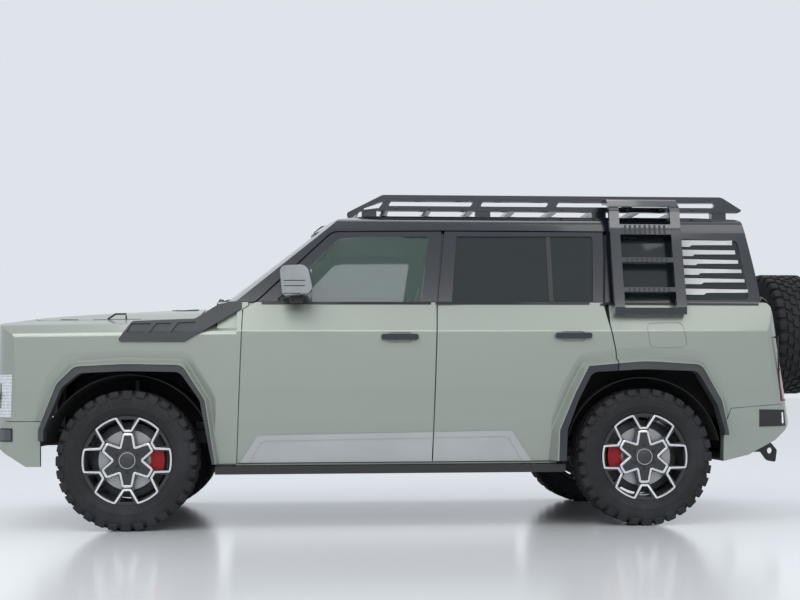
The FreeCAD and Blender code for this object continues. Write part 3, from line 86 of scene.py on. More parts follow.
SIDES = (("left", 1), ("right", -1))


def show(name, data):
    """Object for a mesh, lamp or camera, in the scene."""
    made = bpy.data.objects.new(name, data)
    bpy.context.scene.collection.objects.link(made)
    return made


def place_camera():
    """Camera at the photograph's viewing angle, looking across the vehicle's left side."""
    ahead = Vector((math.sin(CAMERA_YAW) * math.cos(CAMERA_PITCH),
                    -math.cos(CAMERA_YAW) * math.cos(CAMERA_PITCH), math.sin(CAMERA_PITCH)))
    right = ahead.cross(Vector((0, 0, 1))).normalized()
    up = right.cross(ahead)
    c, s = math.cos(CAMERA_ROLL), math.sin(CAMERA_ROLL)
    right, up = right * c + up * s, up * c - right * s
    camera = show("camera", bpy.data.cameras.new("camera"))
    turn = Matrix((right, up, -ahead)).transposed().to_4x4()
    camera.matrix_world = Matrix.Translation(CAMERA_PLACE) @ turn
    camera.data.lens = CAMERA_LENS
    camera.data.sensor_width = CAMERA_SENSOR
    camera.data.clip_end = 200.0
    bpy.context.scene.camera = camera


class Nodes:
    """Short way to build a material's node tree."""

    def __init__(self, name):
        self.material = bpy.data.materials.new(name)
        self.material.use_nodes = True
        self.tree = self.material.node_tree
        self.shader = self.tree.nodes["Principled BSDF"]
        self.place = self.tree.nodes.new("ShaderNodeTexCoord").outputs["Object"]

    def set(self, **values):
        for key, value in values.items():
            self.shader.inputs[key.replace("_", " ").title().replace("Ior", "IOR")].default_value = value

    def feed(self, socket, value):
        """Link a value's socket to this one, or set a constant on it."""
        if isinstance(value, bpy.types.NodeSocket):
            self.tree.links.new(value, socket)
        elif socket.type == "RGBA":
            socket.default_value = tuple(value) + (1.0,)
        else:
            socket.default_value = value

    def node(self, kind, **inputs):
        made = self.tree.nodes.new(kind)
        for key, value in inputs.items():
            self.feed(made.inputs[key], value)
        return made

    def link(self, output, name):
        self.tree.links.new(output, self.shader.inputs[name])

    def noise(self, scale, detail=3.0, roughness=0.5):
        made = self.node("ShaderNodeTexNoise", Vector=self.place, Scale=scale, Detail=detail,
                         Roughness=roughness)
        return made.outputs["Fac"]

    def ramp(self, value, low, high, start=0.3, end=0.7):
        made = self.node("ShaderNodeValToRGB", Fac=value)
        for stop, place, color in zip(made.color_ramp.elements, (start, end), (low, high)):
            stop.position = place
            stop.color = tuple(color) + (1.0,)
        return made.outputs["Color"]

    def mix(self, factor, a, b):
        made = self.tree.nodes.new("ShaderNodeMix")
        made.data_type = "RGBA"
        for index, value in ((0, factor), (6, a), (7, b)):
            self.feed(made.inputs[index], value)
        return made.outputs[2]

    def math(self, operation, a, b=0.0):
        made = self.tree.nodes.new("ShaderNodeMath")
        made.operation = operation
        for socket, value in zip(made.inputs, (a, b)):
            self.feed(socket, value)
        return made.outputs[0]

    def axes(self):
        """Place of the shaded point on the piece at rest, as x, y and z."""
        made = self.node("ShaderNodeSeparateXYZ", Vector=self.place)
        return made.outputs["X"], made.outputs["Y"], made.outputs["Z"]

    def over(self, value, limit):
        return self.math("GREATER_THAN", value, limit)

    def under(self, value, limit):
        return self.math("LESS_THAN", value, limit)

    def all(self, *masks):
        whole = masks[0]
        for mask in masks[1:]:
            whole = self.math("MULTIPLY", whole, mask)
        return whole

    def within(self, value, low, high):
        return self.all(self.over(value, low), self.under(value, high))

    def line(self, value, slope, offset):
        return self.math("ADD", self.math("MULTIPLY", value, slope), offset)

    def lowest(self, value, lines):
        """Lowest of some straight lines over a value, each given as (slope, offset)."""
        whole = self.line(value, *lines[0])
        for slope, offset in lines[1:]:
            whole = self.math("MINIMUM", whole, self.line(value, slope, offset))
        return whole

    def axle_distance(self):
        """Distance from the nearer axle, seen from the side, and how far outside the wheelbase it is."""
        place = self.axes()
        from_middle = self.math("ABSOLUTE", self.math("SUBTRACT", place[0], MIDDLE_X))
        along = self.math("SUBTRACT", from_middle, WHEELBASE / 2.0)
        up = self.math("SUBTRACT", place[2], TYRE_RADIUS)
        square = self.math("ADD", self.math("MULTIPLY", along, along), self.math("MULTIPLY", up, up))
        return self.math("SQRT", square), along

    def bump(self, value, strength, distance):
        made = self.node("ShaderNodeBump", Height=value, Strength=strength, Distance=distance)
        self.link(made.outputs["Normal"], "Normal")

    def sprayed(self, color):
        """Colour of sprayed paint, with fine flake and a little unevenness."""
        base = self.ramp(self.noise(900.0, 2.0), shade(color, 0.93), shade(color, 1.07))
        return self.mix(self.math("MULTIPLY", self.noise(2.3, 2.0), 0.16), base, shade(color, 0.86))

    def mottle(self, color, low, high, *grain):
        """Base colour that varies between two shades of one colour."""
        self.link(self.ramp(self.noise(*grain), shade(color, low), shade(color, high)), "Base Color")

    def wear(self, middle, scale, spread):
        """Roughness that varies about a middle value."""
        uneven = self.math("MULTIPLY", self.noise(scale), spread)
        self.link(self.math("ADD", uneven, middle - spread / 2.0), "Roughness")


def shade(color, factor):
    """Colour made darker or lighter."""
    return tuple(min(1.0, c * factor) for c in color)


def paint(name, color, roughness=0.32, metallic=0.45, coat=0.6):
    """Sprayed paint."""
    n = Nodes(name)
    n.set(metallic=metallic, coat_weight=coat, coat_roughness=0.06)
    n.link(n.sprayed(color), "Base Color")
    n.wear(roughness, 26.0, 0.06)
    return n.material


def door_fields(n, color, black):
    """A door's colour with its silver cladding, and its black with the handle and the arch lip."""
    x, y, z = n.axes()
    side = n.math("ABSOLUTE", y)
    grip = n.all(n.over(side, BODY_Y - 0.004), n.within(z, *HANDLE_FIELD))
    under_lip = n.over(n.math("SUBTRACT", n.lowest(x, ARCH_LIP), z), 0.0)
    lip = n.all(under_lip, n.under(x, ARCH_LIP_X))
    under_top = n.over(n.math("SUBTRACT", n.lowest(x, SILL_TOP), z), 0.0)
    bright = n.all(under_top, n.over(side, SILL_Y))
    silvery = n.ramp(n.noise(3.0), (0.36, 0.38, 0.38), (0.41, 0.43, 0.43))
    return n.mix(bright, color, silvery), n.math("MAXIMUM", n.math("MAXIMUM", black, grip), lip)


def body_finish(name, kind):
    """Body paint with the black and silver fields of one kind of panel."""
    n = Nodes(name)
    n.set(coat_weight=0.6, coat_roughness=0.06)
    x, y, z = n.axes()
    color = n.sprayed(SAGE)
    if kind in FRONT_FIELDS:
        half, low, high = FRONT_FIELDS[kind]
        black = n.all(n.under(n.math("ABSOLUTE", y), half), n.within(z, low, high), n.over(x, FRONT_FIELD_X))
    elif kind == "tail":
        black = n.all(n.under(x, TAIL_X - 0.004), n.within(z, *STEP_FIELD))
    else:
        black = n.over(z, BELT_Z + 0.006)
    if kind == "door":
        color, black = door_fields(n, color, black)
    n.link(n.mix(black, color, NIGHT), "Base Color")
    n.link(n.math("MULTIPLY", n.math("SUBTRACT", 1.0, black), 0.45), "Metallic")
    n.link(n.math("SUBTRACT", 0.32, n.math("MULTIPLY", black, 0.16)), "Roughness")
    return n.material


def plastic(name, color, roughness=0.62, grain=420.0):
    """Moulded plastic with a fine grain."""
    n = Nodes(name)
    n.mottle(color, 0.88, 1.12, 7.0)
    n.wear(roughness, 60.0, 0.12)
    n.bump(n.noise(grain, 4.0), 0.25, 0.0004)
    return n.material


def metal(name, color, roughness):
    """Bare metal."""
    n = Nodes(name)
    n.set(metallic=1.0)
    n.mottle(color, 0.9, 1.08, 30.0)
    n.wear(roughness, 140.0, 0.14)
    return n.material


def carrier_finish(name):
    """Dark steel with painted red brake calipers."""
    n = Nodes(name)
    n.set(metallic=0.6)
    distance, along = n.axle_distance()
    red = n.all(n.within(distance, *CALIPER_RING), n.under(along, -0.09),
                n.over(n.math("ABSOLUTE", n.axes()[1]), CALIPER_Y))
    steel_color = n.ramp(n.noise(30.0), (0.07, 0.07, 0.074), (0.095, 0.095, 0.1))
    red_color = n.ramp(n.noise(40.0), (0.26, 0.01, 0.012), (0.34, 0.014, 0.016))
    n.link(n.mix(red, steel_color, red_color), "Base Color")
    n.link(n.math("SUBTRACT", 0.56, n.math("MULTIPLY", red, 0.22)), "Roughness")
    return n.material


def wheel_finish(name):
    """Gloss black wheel whose brake disc is bare steel with turned rings."""
    n = Nodes(name)
    n.set(coat_weight=0.5, coat_roughness=0.08)
    distance = n.axle_distance()[0]
    disc = n.all(n.within(n.math("ABSOLUTE", n.axes()[1]), *DISC_Y), n.within(distance, *DISC_RING))
    black = n.ramp(n.noise(300.0), (0.01, 0.01, 0.011), (0.015, 0.015, 0.017))
    rings = n.math("SINE", n.math("MULTIPLY", distance, 1400.0))
    bare = n.mix(n.math("MULTIPLY", n.math("ADD", rings, 1.0), 0.5), (0.3, 0.3, 0.31), (0.38, 0.38, 0.39))
    n.link(n.mix(disc, black, bare), "Base Color")
    n.link(n.math("ADD", n.math("MULTIPLY", disc, 0.7), 0.15), "Metallic")
    n.link(n.math("ADD", n.math("MULTIPLY", disc, 0.08), 0.28), "Roughness")
    return n.material


def rubber(name, color):
    """Tyre rubber with dust in patches."""
    n = Nodes(name)
    n.set(specular_ior_level=0.3)
    n.link(n.ramp(n.noise(5.0, 6.0, 0.6), color, shade(color, 1.9), 0.42, 0.75), "Base Color")
    n.wear(0.74, 90.0, 0.16)
    n.bump(n.noise(260.0, 5.0), 0.35, 0.0006)
    return n.material


def hide(name, color):
    """Leather with fine creases."""
    n = Nodes(name)
    n.set(specular_ior_level=0.4, sheen_weight=0.15)
    n.mottle(color, 0.8, 1.2, 4.0, 4.0)
    n.wear(0.495, 30.0, 0.15)
    cells = n.node("ShaderNodeTexVoronoi", Vector=n.place, Scale=260.0)
    n.bump(cells.outputs["Distance"], 0.35, 0.0008)
    return n.material


def pane(name, color, alpha):
    """Tinted glass."""
    n = Nodes(name)
    n.set(roughness=0.03, alpha=alpha, specular_ior_level=0.6)
    n.mottle(color, 0.92, 1.08, 1.6)
    n.material.blend_method = "BLEND"
    return n.material


def lens(name, color, roughness=0.12, ribs=0.0):
    """Lamp lens, with moulded ribs where a spacing is given."""
    n = Nodes(name)
    n.set(coat_weight=1.0, coat_roughness=0.03, roughness=roughness)
    n.mottle(color, 0.85, 1.1, 45.0)
    if ribs:
        n.bump(n.math("SINE", n.math("MULTIPLY", n.axes()[2], 2.0 * math.pi / ribs)), 0.6, 0.003)
    return n.material


SAGE = (0.285, 0.32, 0.283)
NIGHT = (0.007, 0.01, 0.016)
sage = paint("sage paint", SAGE)
door_paint = body_finish("sage paint of the doors", "door")
side_paint = body_finish("sage paint of the sides", "side")
nose_paint = body_finish("sage paint of the nose", "nose")
bumper_paint = body_finish("sage paint of the front bumper", "bumper")
tail_paint = body_finish("sage paint of the rear bumper", "tail")
black_paint = paint("gloss black paint", NIGHT, 0.2, 0.0, 0.8)
frame_paint = plastic("chassis coating", (0.016, 0.016, 0.017), 0.55, 160.0)
trim_plastic = plastic("grained trim plastic", (0.038, 0.043, 0.046), 0.6)
black_plastic = plastic("black plastic", (0.012, 0.012, 0.013), 0.42)
liner_plastic = plastic("liner plastic", (0.008, 0.008, 0.009), 0.85, 120.0)
cabin_plastic = plastic("cabin plastic", (0.03, 0.03, 0.032), 0.6)
silver = metal("machined silver", (0.7, 0.71, 0.73), 0.28)
stripe_silver = plastic("pale silver trim", (0.5, 0.51, 0.52), 0.34)
silver_plastic = plastic("silver plastic", (0.27, 0.29, 0.3), 0.3)
steel = metal("dark steel", (0.08, 0.08, 0.085), 0.55)
carrier_steel = carrier_finish("dark steel and red calipers")
wheel_black = wheel_finish("wheel black")
cap_grey = plastic("centre cap", (0.03, 0.031, 0.034), 0.4)
tyre_rubber = rubber("tyre rubber", (0.016, 0.016, 0.018))
clear_glass = pane("green tinted glass", (0.1, 0.15, 0.13), 0.34)
dark_glass = pane("dark tinted glass", (0.012, 0.018, 0.02), 0.86)
lamp_clear = lens("lamp lens", (0.55, 0.58, 0.61), 0.1, 0.018)
lamp_white = lens("white lamp bar", (0.85, 0.87, 0.9))
lamp_dark = lens("dark lamp glass", (0.03, 0.035, 0.04))
lamp_red = lens("red lamp lens", (0.34, 0.01, 0.012), 0.1, 0.012)
leather = hide("seat leather", (0.042, 0.038, 0.034))
thread = plastic("pale thread", (0.3, 0.29, 0.27), 0.7)
screen_black = lens("screen glass", (0.01, 0.011, 0.013), 0.08)

FINISHES = {
    sage: ["hood", "front_wings", "tailgate"],
    door_paint: ["door_front_left", "door_front_right", "door_rear_left", "door_rear_right"],
    side_paint: ["body_side_left", "body_side_right"],
    nose_paint: ["nose_panel"],
    bumper_paint: ["front_bumper"],
    tail_paint: ["rear_bumper"],
    black_paint: ["roof_panel", "roof_rack", "side_ladder", "spare_carrier", "cowl_panel"],
    frame_paint: ["chassis_frame", "frame_members", "sill_steps"],
    trim_plastic: ["arch_trims", "vent_trims"],
    liner_plastic: ["arch_liners"],
    cabin_plastic: ["dashboard", "steering_wheel", "floor_pan"],
    silver_plastic: ["mirror_left", "mirror_right"],
    steel: ["front_suspension", "engine_block"],
    carrier_steel: ["knuckle_left", "knuckle_right", "rear_axle"],
    clear_glass: ["windscreen", "door_glass_front_left", "door_glass_front_right"],
    dark_glass: ["door_glass_rear_left", "door_glass_rear_right", "quarter_glass", "tailgate_glass"],
    lamp_clear: ["headlamps"],
    lamp_red: ["tail_lamps"],
    leather: ["front_seats", "rear_bench"],
    tyre_rubber: [n for n in nodes if "tyre" in n],
    wheel_black: [n for n in nodes if "rim" in n and "trim" not in n],
}


def finish_nodes():
    """Give every CAD node its material."""
    for material, names in FINISHES.items():
        for name in names:
            slots = nodes[name].data.materials
            slots.clear()
            slots.append(material)


class Form:
    """A mesh under construction, in metres."""

    def __init__(self):
        self.bm = bmesh.new()

    def face(self, verts):
        if len(set(verts)) > 2 and not self.bm.faces.get(verts):
            self.bm.faces.new(verts)

    def loft(self, rings, closed=True):
        """Skin between rings of points that all have the same count; an open one gets end caps."""
        rows = [[self.bm.verts.new(p) for p in ring] for ring in rings]
        count = len(rows[0])
        for low, high in zip(rows, rows[1:] + ([rows[0]] if closed else [])):
            for i in range(count):
                j = (i + 1) % count
                self.face((low[i], low[j], high[j], high[i]))
        if not closed:
            self.face(tuple(reversed(rows[0])))
            self.face(tuple(rows[-1]))
        return rows

    def prism(self, points, axis, low, high, bevel=0.0):
        """Outline pushed along an axis; (u, v) are the other two axes in order."""
        place = {
            "x": lambda u, v, w: (w, u, v),
            "y": lambda u, v, w: (u, w, v),
            "z": lambda u, v, w: (u, v, w),
        }[axis]
        rows = self.loft([[place(u, v, w) for u, v in points] for w in (low, high)], closed=False)
        if bevel:
            verts = set(rows[0] + rows[1])
            edges = [e for e in self.bm.edges if e.verts[0] in verts and e.verts[1] in verts]
            bmesh.ops.bevel(self.bm, geom=edges, offset=bevel, segments=2, affect="EDGES", profile=0.6)

    def box(self, x0, x1, y0, y1, z0, z1, bevel=0.0):
        self.prism([(x0, y0), (x1, y0), (x1, y1), (x0, y1)], "z", z0, z1, bevel)

    def tube(self, points, radius, sides=12, closed=False):
        """Round bar along a line of points."""
        points = [Vector(p) for p in points]
        count = len(points)
        rings = []
        normal = None
        for i, point in enumerate(points):
            ahead = points[(i + 1) % count] if closed or i + 1 < count else point
            back = points[i - 1] if closed or i > 0 else point
            along = (ahead - back).normalized()
            if normal is None:
                normal = along.orthogonal().normalized()
            normal = (normal - along * normal.dot(along)).normalized()
            side = along.cross(normal)
            rings.append([point + (normal * math.cos(a) + side * math.sin(a)) * radius
                          for a in (2.0 * math.pi * k / sides for k in range(sides))])
        self.loft(rings, closed=closed)

    def turn(self, profile, steps=48, place=(0, 0, 0), axis="y"):
        """Turned shape from closed (radius, height) points about an axis through a place."""
        rings = []
        for k in range(steps):
            a = 2.0 * math.pi * k / steps
            ring = []
            for r, h in profile:
                u, v = r * math.cos(a), r * math.sin(a)
                shift = {"x": (h, u, v), "y": (u, h, v), "z": (u, v, h)}[axis]
                ring.append(tuple(p + q for p, q in zip(place, shift)))
            rings.append(ring)
        self.loft(rings)

    def mesh(self, name, material, smooth=32.0):
        """Mesh of the form, with its edges smooth up to an angle in degrees."""
        bmesh.ops.recalc_face_normals(self.bm, faces=self.bm.faces)
        mesh = bpy.data.meshes.new(name)
        self.bm.to_mesh(mesh)
        self.bm.free()
        for polygon in mesh.polygons:
            polygon.use_smooth = True
        mesh.set_sharp_from_angle(angle=math.radians(smooth))
        mesh.materials.append(material)
        return mesh

    def finish(self, name, material, slot, body="body", matrix=None, smooth=32.0):
        """Make the object, give it its material and let it ride on its body."""
        bmesh.ops.remove_doubles(self.bm, verts=self.bm.verts, dist=1e-6)
        return put(name, self.mesh(name, material, smooth), body, matrix)

    def trim(self, name, body="body"):
        """Make the object as a piece of black plastic trim."""
        return self.finish(name, black_plastic, "dark_plastic", body)


def put(name, mesh, body, matrix=None):
    """Object for a mesh, at a place in the row frame, riding on a body."""
    made = show(name, mesh)
    if matrix is not None:
        made.matrix_world = matrix
        bpy.context.view_layer.update()
    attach(made, body)
    return made


def skin(*names):
    """Outer surface of some CAD nodes, for laying trim on it."""
    verts, faces = [], []
    for name in names:
        mesh = nodes[name].data
        start = len(verts)
        verts += [v.co.copy() for v in mesh.vertices]
        faces += [tuple(start + i for i in p.vertices) for p in mesh.polygons]
    return BVHTree.FromPolygons(verts, faces)


def lay(form, tree, axis, sign, columns, lift=0.003, step=0.05, rows=2):
    """Thin band laid on a surface seen along an axis.

    Columns are (u, low, high): u runs along the band, and low and high are its edges there.
    """
    sink = 0.003
    line = []
    for a, b in zip(columns, columns[1:]):
        parts = max(1, math.ceil(max(abs(a[0] - b[0]), abs(a[1] - b[1])) / step))
        line += [tuple(p + (q - p) * k / parts for p, q in zip(a, b)) for k in range(parts)]
    line.append(columns[-1])
    toward = Vector({"x": (-sign, 0, 0), "y": (0, -sign, 0), "z": (0, 0, -sign)}[axis])
    tops, bases = [], []
    for u, low, high in line:
        top, base = [], []
        for k in range(rows + 1):
            v = low + (high - low) * k / rows
            start = {"x": (0, u, v), "y": (u, 0, v), "z": (u, v, 0)}[axis]
            start = Vector(start) - toward * 4.0
            hit = tree.ray_cast(start, toward)[0]
            if hit is None:
                near = tree.find_nearest(start + toward * 3.0)[0]
                hit = start + toward * (near - start).dot(toward)
            top.append(hit - toward * lift)
            base.append(hit + toward * sink)
        tops.append(top)
        bases.append(base)
    rings = [top + base[::-1] for top, base in zip(tops, bases)]
    form.loft(rings, closed=False)


def span(start, end, low, high):
    """Columns of a plain rectangular band."""
    return [(start, low, high), (end, low, high)]


def patch(name, tree, axis, sign, columns, lift, step=0.05, rows=2, look=None, body="body"):
    """One band on a surface, as a piece of its own: black plastic, or a (material, slot) look."""
    form = Form()
    lay(form, tree, axis, sign, columns, lift, step, rows)
    form.finish(name, *(look or (black_plastic, "dark_plastic")), body)


def drop_on(tree, x, y):
    """Point of a surface below a place, or its nearest point at the windscreen's foot."""
    hit = tree.ray_cast(Vector((x, y, 3.0)), Vector((0, 0, -1)))[0]
    return hit or tree.find_nearest(Vector((x, y, SCREEN_FOOT_Z)))[0]


def arc_points(outline, radius, steps=4):
    """Closed (u, v) outline with its corners rounded."""
    out = []
    count = len(outline)
    for i in range(count):
        here = Vector(outline[i])
        back = Vector(outline[i - 1]) - here
        ahead = Vector(outline[(i + 1) % count]) - here
        room = min(radius, 0.45 * back.length, 0.45 * ahead.length)
        back.normalize()
        ahead.normalize()
        start, end = here + back * room, here + ahead * room
        for k in range(steps + 1):
            t = k / steps
            out.append(tuple(start * (1 - t) ** 2 + here * 2 * t * (1 - t) + end * t ** 2))
    return out


WHEELS = {
    "front_left": (Vector((FRONT_X, WHEEL_Y, TYRE_RADIUS)), 0.0, "wheel_front_left"),
    "front_right": (Vector((FRONT_X, -WHEEL_Y, TYRE_RADIUS)), 180.0, "wheel_front_right"),
    "rear_left": (Vector((REAR_X, WHEEL_Y, TYRE_RADIUS)), 0.0, "wheel_rear_left"),
    "rear_right": (Vector((REAR_X, -WHEEL_Y, TYRE_RADIUS)), 180.0, "wheel_rear_right"),
    "spare": (SPARE_PLACE, 90.0, "tailgate"),
}
LUGS = 32
ARMS = 6
LINE_WIDTH = 0.0125
VALVE_RADIUS = 0.236


def wheel_matrix(name):
    """Place of a wheel, whose own axle is Y with its outer face at +Y."""
    place, turn = WHEELS[name][:2]
    return Matrix.Translation(place) @ Matrix.Rotation(math.radians(turn), 4, "Z")


def lug(form, section, middle, width, lean=0.0, top=()):
    """Block whose (radius, y) section runs across the tread; lean turns it as y grows."""
    rings = []
    for share, drop in ((-0.5, 0.003), (-0.38, 0.0), (0.38, 0.0), (0.5, 0.003)):
        ring = []
        for i, (r, h) in enumerate(section):
            a = middle + share * width + lean * h
            radius = r - drop if i in top else r
            ring.append((radius * math.cos(a), h, radius * math.sin(a)))
        rings.append(ring)
    form.loft(rings, closed=False)


def tyre_mesh():
    """Mud tyre about its own axle: carcass, tread blocks and long and short shoulder lugs."""
    form = Form()
    outside = [
        (BEAD_RADIUS, 0.109), (0.26, 0.117), (0.266, 0.1245), (0.27, 0.1265), (0.2745, 0.1262),
        (0.28, 0.13), (0.3, 0.1338), (0.304, 0.1352), (0.308, 0.134), (0.325, 0.1352),
        (0.34, 0.135), (0.356, 0.1315), (0.37, 0.1255), (0.381, 0.115), (0.387, 0.099),
        (0.3885, 0.05),
    ]
    inside = [(BEAD_RADIUS, 0.093), (0.29, 0.108), (0.35, 0.108), (0.365, 0.09)]
    profile = [(r, -h) for r, h in outside] + [(0.389, 0.0)] + outside[::-1]
    profile += inside + [(r, -h) for r, h in inside[::-1]]
    form.turn(profile, 128)

    pitch = 2.0 * math.pi / LUGS
    crown = TYRE_RADIUS - 0.0003
    for k in range(LUGS):
        low, share = (0.344, 0.72) if k % 2 == 0 else (0.36, 0.64)
        shoulder = [
            (0.386, 0.083), (TYRE_RADIUS, 0.084), (TYRE_RADIUS, 0.118), (0.396, 0.127),
            (0.384, 0.1335), (low + 0.006, 0.1372), (low, 0.133), (0.37, 0.12), (0.38, 0.105),
        ]
        for sign, phase in ((1.0, 0.0), (-1.0, 0.5)):
            middle = -math.pi / 2.0 + (k + phase) * pitch
            lug(form, [(r, sign * h) for r, h in shoulder], middle, pitch * share, 0.0, (1, 2, 3, 4))
            for inner, outer, shift, width in ((0.044, 0.077, 0.42, 0.66), (0.005, 0.0385, 0.1, 0.62)):
                block = [(0.386, sign * inner), (crown, sign * (inner + 0.002)),
                         (crown, sign * (outer - 0.002)), (0.386, sign * outer)]
                lug(form, block, middle + shift * pitch, pitch * width, sign * 0.9, (1, 2))
        for sign in (1.0, -1.0):
            rib = [(0.32, sign * 0.1335), (0.3215, sign * 0.1362), (0.337, sign * 0.1362),
                   (0.3385, sign * 0.1335)]
            lug(form, rib, (k + 0.25) * pitch, pitch * 0.3)
    return form.mesh("mud_tyre", tyre_rubber, 28.0)


def face_height(radius):
    """How far the rim's front stands out from the wheel's middle at a radius."""
    marks = ((0.0, 0.0995), (0.06, 0.0995), (0.15, 0.0915), (0.242, 0.1075), (0.2435, 0.1115),
             (0.3, 0.1115))
    for (r0, h0), (r1, h1) in zip(marks, marks[1:]):
        if radius <= r1:
            return h0 + (h1 - h0) * (radius - r0) / (r1 - r0)
    return marks[-1][1]


def ribbon(form, points, width, rise=0.0045):
    """Raised closed line on the rim's front through (x, z) points."""
    count = len(points)
    rings = []
    for i in range(count):
        here = Vector(points[i])
        back = (here - Vector(points[i - 1])).normalized()
        ahead = (Vector(points[(i + 1) % count]) - here).normalized()
        normal = Vector((-(back + ahead).y, (back + ahead).x)).normalized()
        miter = 1.0 / max(0.6, normal.dot(Vector((-ahead.y, ahead.x))))
        ring = []
        for offset, lift in ((-0.5, -0.004), (-0.5, rise - 0.0012), (-0.38, rise), (0.38, rise),
                             (0.5, rise - 0.0012), (0.5, -0.004)):
            p = here + normal * (offset * width * miter)
            ring.append((p.x, face_height(p.length) + lift, p.y))
        rings.append(ring)
    form.loft(rings)


def polar(radius, degrees):
    """Point (x, z) at a radius and an angle."""
    return (radius * math.cos(math.radians(degrees)), radius * math.sin(math.radians(degrees)))


def turned(points, degrees):
    """Points (x, z) turned about the wheel's middle."""
    c, s = polar(1.0, degrees)
    return [(x * c - z * s, x * s + z * c) for x, z in points]


def wheel_lines():
    """Silver outlines of the wheel: six linked frames round a six-armed star."""
    form = Form()
    frames, star = [], []
    corner, tip, valley = (0.1545, 0.0665), (0.1475, 0.0245), 0.08
    rim_radius, half_angle, steps = 0.249, 14.6, 7
    for k in range(ARMS):
        arc = [polar(rim_radius, -half_angle + 2.0 * half_angle * i / steps) for i in range(steps + 1)]
        frames += turned([(corner[0], -corner[1])] + arc + [corner], 60.0 * k)
        star += turned([(tip[0], -tip[1]), tip], 30.0 + 60.0 * k)
        star.append(polar(valley, 60.0 + 60.0 * k))
    ribbon(form, arc_points(frames, 0.004, 2), LINE_WIDTH)
    ribbon(form, arc_points(star, 0.01, 4), LINE_WIDTH)
    return form


def wheel_nuts():
    """Six nuts in a ring, and the valve at the rim."""
    form = Form()
    for k in range(ARMS):
        x, z = polar(0.069, 30.0 + 60.0 * k)
        form.turn([(0.0004, 0.093), (0.0085, 0.093), (0.0085, 0.103), (0.006, 0.105), (0.0004, 0.105)],
                  6, (x, 0.0, z))
    x, z = polar(VALVE_RADIUS, 90.0)
    form.turn([(0.0001, 0.109), (0.0032, 0.109), (0.0032, 0.118), (0.0001, 0.118)], 10, (x, -0.006, z))
    return form


def build_wheels():
    """Mud tyres in place of the CAD ones, with the rims' silver lines, caps and nuts."""
    tyre = tyre_mesh()
    for name in WHEELS:
        body = WHEELS[name][2]
        matrix = wheel_matrix(name)
        node = "spare_tyre" if name == "spare" else "tyre_" + name
        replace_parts(put("mud_tyre_" + name, tyre, body, matrix), node)
        wheel_lines().finish("wheel_lines_" + name, silver, "silver_plastic", body, matrix)
        cap = Form()
        cap.turn([(0.0005, 0.096), (0.056, 0.096), (0.056, 0.1035), (0.052, 0.1065), (0.047, 0.1065),
                  (0.0445, 0.1045), (0.03, 0.1085), (0.0005, 0.11)], 40)
        cap.finish("centre_cap_" + name, cap_grey, "wheel_paint", body, matrix)
        ring = Form()
        ring.turn([(0.043, 0.104), (0.047, 0.104), (0.0462, 0.1072), (0.0438, 0.1072)], 40)
        ring.finish("cap_ring_" + name, silver, "silver_plastic", body, matrix)
        wheel_nuts().finish("wheel_nuts_" + name, black_plastic, "wheel_paint", body, matrix)


# Stripes on the quarters: front x with top and bottom, the notch's two x, rear x with top and bottom
STRIPES = (
    (-1.494, 1.7, 1.659, -1.596, -1.611, -1.862, 1.698, 1.67),
    (-1.502, 1.64, 1.601, -1.609, -1.624, -1.876, 1.6365, 1.612),
    (-1.511, 1.582, 1.545, -1.625, -1.638, -1.889, 1.5755, 1.554),
    (-1.517, 1.524, 1.485, -1.636, -1.651, -1.904, 1.517, 1.496),
    (-1.523, 1.464, 1.427, -1.649, -1.664, -1.917, 1.4575, 1.438),
    (-1.526, 1.399, 1.362, -1.658, -1.677, -1.929, 1.393, 1.374),
)


def quarter_stripes(side, sign):
    """Six notched silver stripes and a belt strip on a quarter."""
    quarter = skin("body_side_" + side, "quarter_glass")
    form = Form()
    for x0, top, low, notch0, notch1, x1, top1, low1 in STRIPES:
        rise = low1 - (low1 - low) * 0.1
        upper = [top + (top1 - top) * (x - x0) / (x1 - x0) for x in (notch0, notch1)]
        lay(form, quarter, "y", sign, [(x0, low, top), (notch0, low - 0.001, upper[0]),
                                       (notch1, rise, upper[1]), (x1, low1, top1)], 0.005)
    form.finish("quarter_stripes_" + side, stripe_silver, "silver_plastic")
    patch("quarter_belt_" + side, quarter, "y", sign,
          [(-1.02, 1.2985, 1.312), (-1.985, 1.296, 1.309)], 0.004)


def door_strips(side, sign):
    """Belt strip of both doors and the upright bar in the rear door's glass."""
    for place, x0, x1 in (("front", 0.985, -0.008), ("rear", -0.035, -0.955)):
        door = "door_%s_%s" % (place, side)
        patch("belt_strip_%s_%s" % (place, side), skin(door), "y", sign,
              span(x0, x1, 1.3, 1.313), 0.005, 0.2, 1, body=door)
    glass = "door_glass_rear_" + side
    low, high = (v.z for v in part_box(glass))
    patch("glass_bar_" + side, skin(glass), "y", sign,
          span(-0.714, -0.742, low + 0.004, high - 0.004), 0.006, 0.2, 8, body="door_rear_" + side)


def bumper_marks(side, sign):
    """Side marker in the front bumper and reflector in the rear one, each a lens in a black frame."""
    bumper = skin("front_bumper", "nose_panel")
    tail = skin("rear_bumper", "body_side_" + side)
    dark, white = (lamp_dark, "lamp_clear"), (lamp_white, "lamp_clear")
    for name, tree, columns, lift, step, rows, look in (
        ("side_marker_frame_", bumper, span(2.386, 2.467, 0.511, 0.587), 0.006, 0.03, 2, None),
        ("side_marker_lens_", bumper, span(2.393, 2.46, 0.519, 0.579), 0.009, 0.03, 2, dark),
        ("rear_reflector_", tail, [(-1.956, 0.572, 0.674), (-2.116, 0.576, 0.672)], 0.006, 0.04, 3, None),
        ("rear_marker_", tail, span(-2.09, -2.101, 0.593, 0.656), 0.009, 0.04, 2, white),
    ):
        patch(name + side, tree, "y", sign, columns, lift, step, rows, look)


